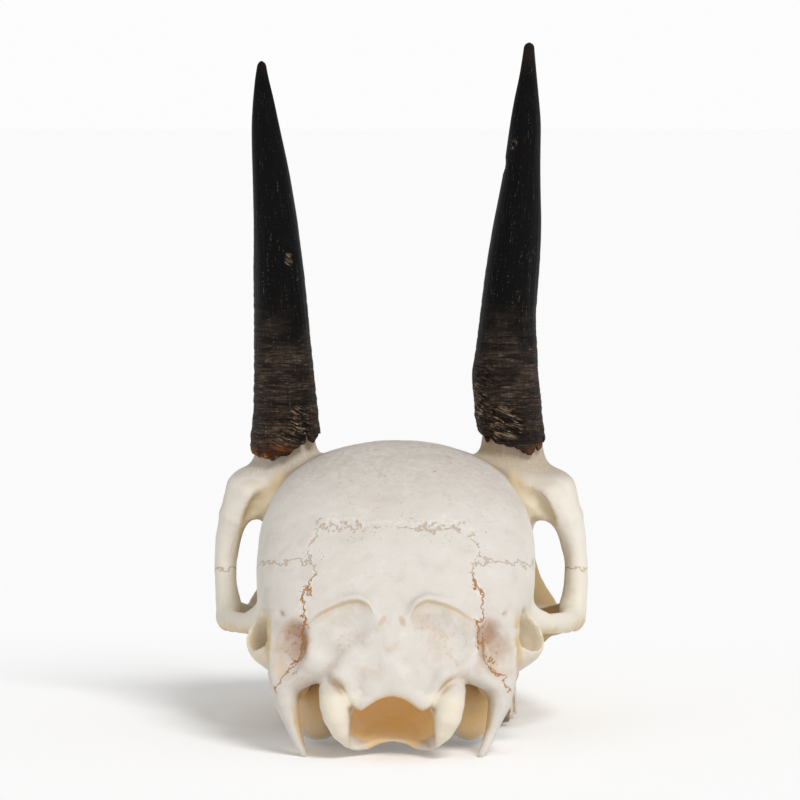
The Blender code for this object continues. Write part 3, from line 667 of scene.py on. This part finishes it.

    # Ochre stain with painted shade inside the foramen and other hollows, a yellow crease behind the ear,
    # and rust beside the nape.
    coat((218, 182, 122), ochre * (0.65 + 0.35 * patchy) * 0.85)
    crease = abs(out - 23 + (z - 20) * 0.06 + mottle * 1.6 - 0.8)
    crease = crease.step(0.9, 0.2) * z.between(12, 14, 24, 27) * y.step(18, 15)
    coat((202, 168, 100), crease * (0.3 + 0.7 * patchy) * 0.7)
    stain = rust * (nape.step(7, 0.5) * 0.8 + 0.2) * mottle.step(0.28, 0.56)
    coat((196, 156, 112), rust * z.step(12, 20) * mottle.step(0.3, 0.6) * 0.4)
    coat((150, 94, 50), stain * z.step(15, 22) * 0.7)
    coat((96, 54, 34), stain * z.step(16, 20) * grit.step(0.56, 0.7) * 0.6)

    # Thin edges lightened with painted light, as if light shone through the thin bone, pores in patches,
    # and the sutures.
    coat((226, 219, 205), edge.step(0.35, 0.9) * 0.35)
    pores = paint.graph.node("ShaderNodeTexVoronoi", {}, {"Vector": paint.place, "Scale": 1.3})
    pore = pores.step(0.14, 0.05) * paint.noise(0.16, 1.0).step(0.5, 0.62) * z.step(30, 36)
    coat((140, 118, 92), pore * 0.6)
    coat((180, 142, 92), seam * 0.5)
    coat((170, 114, 54), seam * deep * (0.5 + 0.5 * grit.step(0.35, 0.6)))

    # A painted glow stands in for light that comes through the thin bone of the foramen's walls, and a
    # little through the ear's cup.
    painted_glow = (ochre * out.step(8.6, 7) * y.step(3, 8)).most(cup * 0.3)
    height = mottle * 0.14 + grit * 0.12 + combed * 0.1 - pore * 0.5 - seam * 0.3
    return paint.finished(0.5 + grit * 0.16 + near * 0.12, height, 0.4, {
        "Specular IOR Level": 0.3, "Subsurface Weight": 0.05, "Subsurface Radius": (1.0, 0.72, 0.5),
        "Subsurface Scale": MM, "Emission Color": paint.graph.scaled((0.13, 0.083, 0.032), painted_glow),
        "Emission Strength": 1.0})


NAPE_MIDDLE = 22.0


def bone_seams(paint):
    """The wiggly sutures between the plates: how near a point is to one, how deep and open it is
    there, and how far outside the nape's outline the point lies."""
    coarse = paint.noise(0.42, 1.0, out="Color")
    fine = paint.noise(1.5, 1.0, out="Color")
    moved = paint.place
    for waves, shift in ((coarse, 3.4), (fine, 1.3)):
        moved = moved.vector("ADD", moved, waves.vector("SUBTRACT", waves, (0.5,) * 3).times(shift))
    x, y, z = moved.parts()
    x, rise = abs(x), z - NAPE_MIDDLE
    turn = x.math("ARCTAN2", x, rise)
    reach = (x * x + rise * rise) ** 0.5
    nape = reach - along(turn, [(0, 19.4), (0.3, 20.3), (0.6, 23), (0.72, 22.4), (0.85, 20.2), (0.9, 17.9),
                                (1.03, 17.4), (1.19, 17.5), (1.32, 16.7), (1.5, 15.8), (1.68, 16.3),
                                (1.8, 17.6), (1.88, 19.4), (1.98, 23.4)])
    low = turn.step(0.8, 1.0)
    dashes = paint.noise(0.9, 1.0).step(0.36, 0.5)
    across, _, up = paint.place.vector("ADD", paint.place, fine.times(1.2)).parts()
    loops = abs(across).step(3.5, 6)
    swing = across * 2.6 + paint.noise(0.6, 1.0) * 9
    level = up - 41.4 - swing.math("SINE", swing) * loops * paint.noise(0.5, 1.0).step(0.2, 0.7)
    slope = abs(swing.math("COSINE", swing)) * loops
    tongues = (abs(level) / (0.12 + slope * 0.45)).step(1.0, 0.4) * abs(across).step(14.5, 13)
    behind = (along(z, [(10, 13), (20, 14), (34, 20), (44, 26)]) - y).step(0, 2)
    seam = (abs(nape) / (0.2 + 0.15 * z.step(26, 22))).step(1.2, 0.4) * turn.step(0.62, 0.7) * behind
    seam = (seam * z.step(11.6, 12.6)).most(tongues * y.step(26, 24)) * low.most(dashes)
    pits = paint.graph.node("ShaderNodeTexVoronoi", {}, {"Vector": moved, "Scale": 0.9})
    seam = seam.most(pits.step(0.3, 0.2) * abs(nape).step(1.2, 0.5) * behind * low * z.step(15, 17))

    # Finer sutures: the distance from each one's course, where it fades and is full, and its bounds.
    temple = z - along(y, [(8, 33.2), (11, 34.7), (13, 35), (17, 34.4), (24, 33.4), (34, 34.4), (50, 31)])
    nasal = x - along(y, [(82, 7.6), (100, 6), (118, 4.6)])
    tear = z - along(y, [(80, 41), (88, 35.6), (96, 33.4), (103, 31)])
    jaw = z - along(y, [(62, 17.4), (70, 16.6), (78, 17.4), (84, 21), (90, 26)])
    lip = z - along(y, [(103, 28), (110, 19), (117, 11.6)])
    for course, faint, full, bounds in (
            (temple, 0.2, 0.05, nape.step(-0.2, 0.2) * y.step(50, 46) * x.step(13, 14)),
            (z - 29.3, 0.24, 0.07, x.step(27, 28) * y.step(70, 66)),
            (x, 0.24, 0.08, y.step(50, 51) * z.step(24, 27)),
            (y - 50.5 + x * 0.12, 0.26, 0.08, z.step(38, 41)),
            (nasal, 0.24, 0.08, y.step(84, 86) * z.step(26, 29)),
            (tear, 0.24, 0.08, x.step(9, 10) * y.step(90, 91)),
            (jaw, 0.24, 0.08, x.step(20, 21) * y.between(61, 63, 90, 91)),
            (lip, 0.24, 0.08, x.step(4, 5) * y.step(103, 104))):
        seam = seam.most(abs(course).step(faint, full) * bounds)
    return seam, low * abs(nape).step(1.5, 0.8), nape


bone = bone_finish()
# The glow is too faint to be sampled as a lamp, which would only slow the render.
bone.cycles.emission_sampling = "NONE"
cranium.data.materials.append(bone)
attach(cranium, "root")
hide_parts("braincase", "occiput", "muzzle", "cheekbone_left", "cheekbone_right")

# Cheek teeth. Six to a side, three narrow premolars and three molars of two crescent lobes each,
# enamel folds worn flat around darker dentine, seated in their sockets and stained with tartar.

TOOTH_CELL = 0.24
TEETH_LOW = Vector((-24.0, 46.0, -1.0))
TEETH_HIGH = Vector((24.0, 102.0, 8.0))

# Middle (x, y), turn in degrees, half length, half width and number of lobes.
TEETH = [((17.9, 52.2), -8, 4.8, 3.7, 2), ((18.5, 61.8), 2, 4.7, 4.1, 2), ((17.7, 70.7), 9, 4.2, 3.9, 2),
         ((16.0, 78.2), 15, 3.3, 3.4, 1), ((14.0, 84.4), 19, 3.2, 2.9, 1), ((11.9, 90.4), 21, 3.0, 2.4, 1)]


def lobe(space, centre, turn, half_length, half_width):
    """One column of a tooth: ribbed outside, rounded inside, with a crescent pit in its crown."""
    offset = space.vector("SUBTRACT", space, (*centre, 0))
    offset = space.graph.node("ShaderNodeVectorRotate", {"rotation_type": "Z_AXIS"},
                              {"Vector": offset, "Angle": math.radians(-turn)})
    u, v, z = offset.parts()
    swell = 1.02 - z * 0.016
    across = abs(u / (swell * half_width)) ** 2.4
    lengthwise = abs(v / (swell * half_length)) ** 3.0
    column = ((across + lengthwise) ** 0.38 - 1.0) * min(half_length, half_width)
    side = half_width - 0.35
    rib = bar(offset, [(side, 0, -2, 0.55), (side - 0.2, 0, 8, 0.4)])
    fold = bar(offset, [(side, half_length * 0.86, -2, 0.6), (side - 0.2, half_length * 0.86, 8, 0.35)])
    column = column.joined(rib, 0.5).joined(fold, 0.4)
    worn = abs(v) * (1.5 / half_length) + abs(u) * 0.22 + 0.06
    pit = bar(offset, [(-0.5, -half_length * 0.5, 0.5, 0.55), (0.7, 0, 0, 0.75),
                       (-0.5, half_length * 0.5, 0.5, 0.55)])
    return column.math("SMOOTH_MAX", column, worn - z, 0.5).carved(pit, 0.35)


def tooth_mesh():
    graph = skin_graph("cheek_teeth")
    place = graph.node("GeometryNodeInputPosition")
    x, y, z = place.parts()
    space = graph.node("ShaderNodeCombineXYZ", {}, [abs(x), y, z])
    row = None
    for centre, turn, half_length, half_width, lobes in TEETH:
        for part in range(lobes):
            shift = (part - (lobes - 1) / 2) * half_length * 1.05
            angle = math.radians(turn)
            middle = (centre[0] - math.sin(angle) * shift, centre[1] + math.cos(angle) * shift)
            form = lobe(space, middle, turn, half_length * (1.0 if lobes == 1 else 0.56), half_width)
            row = form if row is None else row.joined(form, 0.25)
    row = row.most(0.06 - z).most(z - 6.8)
    skin = skinned(graph, row, TEETH_LOW, TEETH_HIGH, TOOTH_CELL)
    graph.node("NodeGroupOutput", {}, [skin])
    return made_mesh("cheek_teeth", graph.tree)


def enamel_finish():
    paint = Paint("enamel", (222, 210, 184))
    coat = paint.coat
    _, y, z = paint.place.parts()
    streak = paint.noise(0.5, 3.0, stretch=(1, 1, 0.25), warp=0.5)
    speck = paint.noise(1.6, 3.0)
    # Brown streaks, tartar by the gums, worn crowns, and the dark rear lobe of the last molar.
    coat((150, 118, 78), streak.step(0.45, 0.7) * 0.7)
    coat((84, 60, 40), (streak * 0.6 + speck * 0.4).step(0.52, 0.66) * z.step(6.0, 2.0) * 0.8)
    coat((132, 96, 58), z.step(0.9, 0.2) * 0.7)
    coat((88, 56, 32), y.step(52.6, 51) * (streak * 0.7 + speck * 0.3).step(0.15, 0.4) * 0.92)
    coat((150, 112, 70), y.step(60, 54) * streak.step(0.3, 0.6) * 0.5)
    return paint.finished(0.28 + streak.step(0.45, 0.7) * 0.3, streak * 0.4 + speck * 0.2, 0.15,
                          {"Specular IOR Level": 0.5})


teeth = tooth_mesh()
teeth.data.materials.append(enamel_finish())
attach(teeth, "root")

# Nose. Bone as thin as paper inside the muzzle: the upright vomer in the middle, and on each side
# of it scrolled turbinates that hang from the wall and the roof. One sheet each, rolled up.

SCROLL_THICKNESS, VOMER_THICKNESS = 0.28, 0.5
SCROLL_ROWS, SCROLL_POINTS = 32, 48
VOMER_REAR, VOMER_LENGTH, VOMER_FOOT = 84, 30, 11.2
VOMER_ROWS, VOMER_POINTS = 24, 10


def sheet(name, rows, thickness):
    """A thin bent sheet through rows of points in skull millimetres."""
    shape = bmesh.new()
    net = [[shape.verts.new((Vector(point) - SKULL_MIDDLE) * MM) for point in row] for row in rows]
    for lower, upper in zip(net, net[1:]):
        for i in range(len(lower) - 1):
            shape.faces.new((lower[i], lower[i + 1], upper[i + 1], upper[i]))
    flat = new_piece(name, shape)
    thick = flat.modifiers.new("thickness", "SOLIDIFY")
    thick.thickness = thickness * MM
    thick.offset = 0
    flat.data.materials.append(bone)
    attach(flat, "root")


def scroll(name, side, hang, reach, turns, first, last):
    """A turbinate: a sheet from its root at the wall, rolled inward, tapering to the front."""
    across, height, drop = hang
    rows = []
    for i in range(SCROLL_ROWS + 1):
        share = i / SCROLL_ROWS
        y = first + (last - first) * share
        size = reach * (0.55 + 0.45 * math.sin(math.pi * (0.15 + 0.75 * share)))
        row = []
        for k in range(SCROLL_POINTS + 1):
            roll = k / SCROLL_POINTS
            angle = math.radians(200) - roll * turns * 2 * math.pi
            wave = 0.12 * noise.noise(Vector((side * 3 + roll * 4, y * 0.35, height)))
            radius = size * (1 - 0.72 * roll) + wave
            row.append((side * (across - size * 0.2 + radius * math.cos(angle)), y,
                        height - share * drop + radius * math.sin(angle)))
        rows.append(row)
    sheet(name, rows, SCROLL_THICKNESS)


for side, word in ((-1, "left"), (1, "right")):
    scroll("turbinate_lower_" + word, side, (4.3, 17.4, 1.2), 2.7, 1.6, 93, 112)
    scroll("turbinate_upper_" + word, side, (3.4, 23.4, 2.2), 1.9, 1.2, 90, 113)
    for level, (across, height) in enumerate([(2.6, 20.4), (5.2, 22.6), (5.4, 18.6), (2.8, 15.6)]):
        scroll("ethmoid_%s_%d" % (word, level + 1), side, (across, height, 0.4), 1.5, 1.3, 86, 96 - level)

vomer_rows = []
for i in range(VOMER_ROWS + 1):
    y = VOMER_REAR + i * VOMER_LENGTH / VOMER_ROWS
    crest = 15.6 + 9.4 * max(0.0, 1 - i / 11) ** 0.7
    vomer_rows.append([
        (0.16 * math.sin(i * 0.9 + k), y, VOMER_FOOT + (crest - VOMER_FOOT) * k / VOMER_POINTS)
        for k in range(VOMER_POINTS + 1)])
sheet("vomer", vomer_rows, VOMER_THICKNESS)

# Horn sheaths. Hollow keratin cones slipped over bony cores: black and finely furrowed towards the
# tip, brown and ringed near the base, with a thin, split and amber rim. Sizes are skull millimetres.

# Height, centre y, centre x and half width.
LEFT_STATIONS = [(50, 60.1, -21.4, 6.9), (54.4, 58.9, -21.4, 6.69), (58, 58.1, -21.4, 6.2),
                 (66.1, 56.1, -21.6, 5.75), (77.7, 53.4, -22, 5.22), (86.9, 51.4, -22.5, 4.8),
                 (96, 49.6, -22.94, 4.2), (105.1, 47.8, -23.7, 3.38), (114.2, 46.1, -24.65, 2.54),
                 (118.7, 45.3, -24.98, 1.97), (123.2, 44.5, -25.31, 1.22), (126, 44, -25.3, 0.7)]
RIGHT_STATIONS = [(50, 60.2, 21.8, 6.3), (54.5, 59.1, 21.8, 6.25), (58, 58.3, 21.1, 6.4),
                  (66.1, 56.4, 20.4, 6.35), (77.7, 53.8, 20.9, 5.42), (86.9, 51.9, 21.8, 5.01),
                  (96, 50, 22.7, 4.43), (105.1, 48.3, 23.54, 3.5), (114.2, 46.7, 24.18, 2.9),
                  (118.7, 45.9, 24.35, 2.34), (123.2, 45.1, 24.62, 1.69), (129.5, 44, 24.85, 0.9)]
# How much deeper than wide a sheath is, and the heights where its stations and its lowest ring start.
HORN_DEPTH = 1.15
HORN_BASE = 48.0
HORN_FOOT = 53.0
HORN_STEP = 0.32
HORN_SIDES = 128
HORN_WALL = 0.5
# The curves through the stations: values to a millimetre, and how many are smoothed together.
CURVE_FINENESS, CURVE_SMOOTHING, CURVE_MARGIN = 10, 61, 40
# Rings begin at the first height and are full so far below it. The rim's cut dies out over the last.
RINGS_TOP, RINGS_FADE, RIM_FADE = 98, 34, 3.2

# Height of the torn lower edge by angle: 0 is the animal's right, 270 its back.
LEFT_RIM = [(0, 55.2), (60, 54.4), (120, 53.4), (180, 52.7), (200, 51.2), (215, 51), (250, 50.3),
            (273, 51.2), (299, 53.3), (307, 53.6), (311, 57), (315, 53.8), (322, 53.2), (345, 55),
            (360, 55.2)]
RIGHT_RIM = [(0, 53.8), (60, 54), (120, 55), (180, 55.6), (212, 54.3), (218, 53.5), (228, 54.6),
             (239, 53.3), (253, 53.2), (274, 52.7), (290, 51.9), (302, 51.1), (312, 51.5), (316, 53.4),
             (322, 51.9), (336, 52.6), (341, 54.6), (347, 53.4), (360, 53.8)]

# Worn places: angle, height, reach in degrees and in height, how far worn down, how pale.
LEFT_WEAR = [(300, 88.7, 14, 1.6, 0.05, 0.9), (298, 57, 26, 4.4, 0.12, 0.9), (270, 54, 36, 2.4, 0.08, 0.5)]
RIGHT_WEAR = [(182, 106.3, 34, 1.5, 0.3, 0.5), (230, 110.3, 20, 1.6, 0.08, 0.8), (208, 61, 34, 5, 0.2, 1),
              (254, 57.4, 46, 4, 0.18, 1.1), (225, 66, 40, 5, 0.05, 0.35)]


def horn_mesh(name, stations, rim, wear, seed):
    """A sheath lofted up its stations, with rings, furrows, worn places and a thin lower edge."""
    stations = np.array(stations, float)
    tip = stations[-1, 0]
    fine = np.arange(HORN_BASE, tip + 3.0, 1 / CURVE_FINENESS)
    window = np.hanning(CURVE_SMOOTHING)

    def smoothed(column):
        values = np.interp(fine, stations[:, 0], stations[:, column])
        before = 2 * values[0] - values[CURVE_MARGIN:0:-1]
        after = 2 * values[-1] - values[-2:-CURVE_MARGIN - 2:-1]
        padded = np.concatenate([before, values, after])
        return np.convolve(padded, window / window.sum(), "same")[CURVE_MARGIN:-CURVE_MARGIN]

    def at(curve, z):
        place = (z - HORN_BASE) * CURVE_FINENESS
        index = int(place)
        return curve[index] + (curve[index + 1] - curve[index]) * (place - index)

    middle_y, middle_x, half_width = smoothed(1), smoothed(2), smoothed(3)
    shape = bmesh.new()
    grain = shape.verts.layers.float_vector.new("grain")
    worn = shape.verts.layers.float.new("worn")
    columns = []
    for step in range(HORN_SIDES):
        turn = step * 360 / HORN_SIDES
        across, back = math.cos(math.radians(turn)), math.sin(math.radians(turn))
        edge = float(np.interp(turn, *zip(*rim))) - HORN_FOOT
        edge += 0.45 * noise.noise(Vector((across * 4, back * 4, seed)))
        edge += 0.3 * noise.noise(Vector((across * 11, back * 11, seed)))
        columns.append((turn, across, back, edge))

    # Rows of points as (height, inset, lift): down inside the wall, round its edge, up to the tip.
    steps = [(HORN_FOOT, HORN_WALL, lift) for lift in np.arange(2.6, 0.3, -0.45)]
    steps += [(HORN_FOOT, HORN_WALL, 0.12), (HORN_FOOT, HORN_WALL * 0.6, 0.0), (HORN_FOOT, 0.08, 0.05)]
    for height in np.append(np.arange(HORN_FOOT, tip - 0.02, HORN_STEP), tip):
        steps.append((height, 0.0, 0.15 if height == HORN_FOOT else 0.0))
    rows = []
    for height, inset, lift in steps:
        cap = math.sqrt(max(0.0, 1 - max(0.0, 1 - (tip - height) / 1.1) ** 2))
        fade = math.exp(-(height - HORN_FOOT) / RIM_FADE)
        row = []
        for turn, across, back, edge in columns:
            z = height + lift + edge * fade
            low = max(0.0, min(1.0, (RINGS_TOP - z) / RINGS_FADE))
            ripple = noise.noise(Vector((across * 0.4, seed, z * 0.9))) + 0.7 * noise.noise(
                Vector((across * 0.8, back + seed, z * 2.4)))
            uneven = noise.noise(Vector((across * 1.1, back * 1.1 + seed, z * 0.06)))
            furrow = noise.noise(Vector((across * 9, back * 9 + seed, z * 0.03)))
            swell = ripple * 0.13 * low + uneven * 0.22 + furrow * 0.05
            pale = 0.0
            for place, level, spread, rise, down, share in wear:
                apart = math.hypot((turn - place) / spread, (z - level) / rise)
                if apart < 1:
                    crumble = noise.noise(Vector((across * 12, back * 12 + seed, z * 1.9)))
                    near = (1 - apart) ** 0.6
                    swell -= near * down * (1.1 + crumble)
                    pale = max(pale, near * share)
            reach = (at(half_width, z) + swell - inset) * cap
            point = Vector((at(middle_x, z) + across * reach,
                            at(middle_y, z) + back * reach * HORN_DEPTH, z))
            vert = shape.verts.new((point - SKULL_MIDDLE) * MM)
            vert[grain] = Vector((across * 5, back * 5 + seed, z))
            vert[worn] = pale
            row.append(vert)
        rows.append(row)
    for vert in rows[-1][1:]:
        shape.verts.remove(vert)
    peak = rows[-1][0]
    peak.co = (Vector((at(middle_x, tip), at(middle_y, tip), tip)) - SKULL_MIDDLE) * MM
    for i in range(HORN_SIDES):
        j = (i + 1) % HORN_SIDES
        for lower, upper in zip(rows, rows[1:-1]):
            shape.faces.new((lower[i], lower[j], upper[j], upper[i]))
        shape.faces.new((rows[-2][i], rows[-2][j], peak))
    return new_piece(name, shape)


def horn_finish():
    paint = Paint("horn_sheath", (7, 7, 7))
    coat = paint.coat
    grain, worn = paint.kept("grain", "Vector"), paint.kept("worn")
    x, y, z = grain.parts()

    def combed(across, up):
        return paint.noise(1.0, 3.0, place=grain, stretch=(across, across, up), rough=0.7)

    furrow, hair, ring = combed(1.6, 0.055), combed(4.0, 0.24), combed(0.2, 1.7)
    line, fleck = combed(0.45, 4.2), combed(1.6, 2.4)
    patch = paint.noise(0.12, 3.0, warp=0.5)

    # Brown bands and rings low down, with pale fibres along the horn.
    low = (z + patch * 20 - 10).step(80.0, 64.0) * (0.22 + 0.78 * combed(0.12, 0.42).step(0.4, 0.56))
    coat((73, 59, 49), low * (0.35 + 0.65 * ring.step(0.36, 0.6)))
    coat((18, 15, 13), low * line.step(0.5, 0.4) * 0.85)
    coat((128, 112, 98), low * line.step(0.52, 0.64) * (0.15 + 0.85 * fleck.step(0.44, 0.66)) * 0.8)
    coat((112, 106, 100), hair.step(0.55, 0.68) * fleck.step(0.5, 0.64) * (1.0 - low * 0.5) * 0.55)
    coat((22, 18, 15), low * hair.step(0.47, 0.38) * 0.6)

    # Worn places, where slanted flakes have come away.
    torn = (worn * 1.5 + fleck * 1.2 - 0.75).clamped()
    slanted = paint.graph.node("ShaderNodeCombineXYZ", {}, [x * 0.62, y * 0.62, (z + x * 0.5) * 2.3])
    flake = paint.noise(1.0, 3.0, place=slanted, warp=0.9, rough=0.7)
    coat((12, 10, 9), worn.step(0.02, 0.2) * flake.step(0.49, 0.42) * 0.85)
    coat((92, 74, 60), worn.step(0.02, 0.5) * torn * flake.step(0.48, 0.56) * 0.6)
    coat((172, 148, 122), worn.step(0.02, 0.5) * torn * flake.step(0.55, 0.62) * 0.7)

    # The torn rim, amber where it is thin, and the browner tip.
    rim = (z + patch * 4 - 2).step(54.0, 51.0)
    coat((58, 31, 17), rim * 0.8)
    amber = paint.noise(0.25, 2.0, place=grain).step(0.42, 0.56).most(worn.step(0.1, 0.3) * 0.9)
    coat((164, 98, 40), rim * amber * (0.5 + 0.5 * fleck.step(0.42, 0.6)) * 0.75)
    coat((182, 158, 130), (z + fleck * 2 - 1).step(51.6, 50.8) * fleck.step(0.5, 0.62) * 0.6)
    coat((52, 38, 28), z.step(122.0, 128.0) * 0.4)

    height = furrow * 0.5 * (1.0 - low * 0.5) + (ring * 0.6 + line * 0.5) * low
    height = height + worn * flake.step(0.44, 0.56) * 0.5
    return paint.finished(0.42 + furrow * 0.2 + low * 0.14, height, 0.36, {"Specular IOR Level": 0.07})


horn_material = horn_finish()
horn_left = horn_mesh("horn_sheath_left", LEFT_STATIONS, LEFT_RIM, LEFT_WEAR, 3)
horn_right = horn_mesh("horn_sheath_right", RIGHT_STATIONS, RIGHT_RIM, RIGHT_WEAR, 11)
for horn, node in ((horn_left, "horn_left"), (horn_right, "horn_right")):
    horn.data.materials.append(horn_material)
    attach(horn, "root")
    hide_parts(node)

# Studio. A wide sheet of pale paper under the skull, soft light from the front right and a
# near-white room, and the camera where the photograph was taken from.

floor_shape = bmesh.new()
bmesh.ops.create_grid(floor_shape, x_segments=2, y_segments=2, size=6.0)
floor = new_piece("floor", floor_shape)
paper = Paint("paper", (247, 247, 247))
floor.data.materials.append(paper.finished(0.9, paper.noise(0.4, 3.0) * 0.2, 0.1, {
    "Specular IOR Level": 0.0, "Emission Color": (1, 1, 1, 1), "Emission Strength": 0.1}))

world = bpy.data.worlds.new("room")
bpy.context.scene.world = world
world.use_nodes = True
room = Graph(world.node_tree)
height = room.node("ShaderNodeTexCoord", out="Generated").parts()[2]
glow = 0.5 + 0.48 * height.step(0.2, 0.05) * height.step(-0.4, -0.05)
backdrop = world.node_tree.nodes["Background"]
world.node_tree.links.new(glow.socket, backdrop.inputs["Strength"])
backdrop.inputs["Color"].default_value = (1, 1, 1, 1)

lamp = bpy.data.lights.new("key", "SUN")
lamp.energy = 1.85
lamp.angle = math.radians(22)
key = bpy.data.objects.new("key", lamp)
key.rotation_euler = Vector((-0.42, 0.85, -0.95)).to_track_quat("-Z", "Y").to_euler()
bpy.context.scene.collection.objects.link(key)

CAMERA_TARGET = Vector((0.00004, -0.0193, 0.0623))
camera_turn = math.radians(1.07)
camera_rise = math.radians(4)
lens = bpy.data.cameras.new("camera")
lens.lens = 239.1
lens.sensor_width = 36.0
camera = bpy.data.objects.new("camera", lens)
camera.location = CAMERA_TARGET + Vector((math.sin(camera_turn) * math.cos(camera_rise),
                                          -math.cos(camera_turn) * math.cos(camera_rise),
                                          math.sin(camera_rise)))
camera.rotation_euler = (CAMERA_TARGET - camera.location).to_track_quat("-Z", "Y").to_euler()
bpy.context.scene.collection.objects.link(camera)
bpy.context.scene.camera = camera
bpy.context.scene.view_settings.view_transform = "Standard"
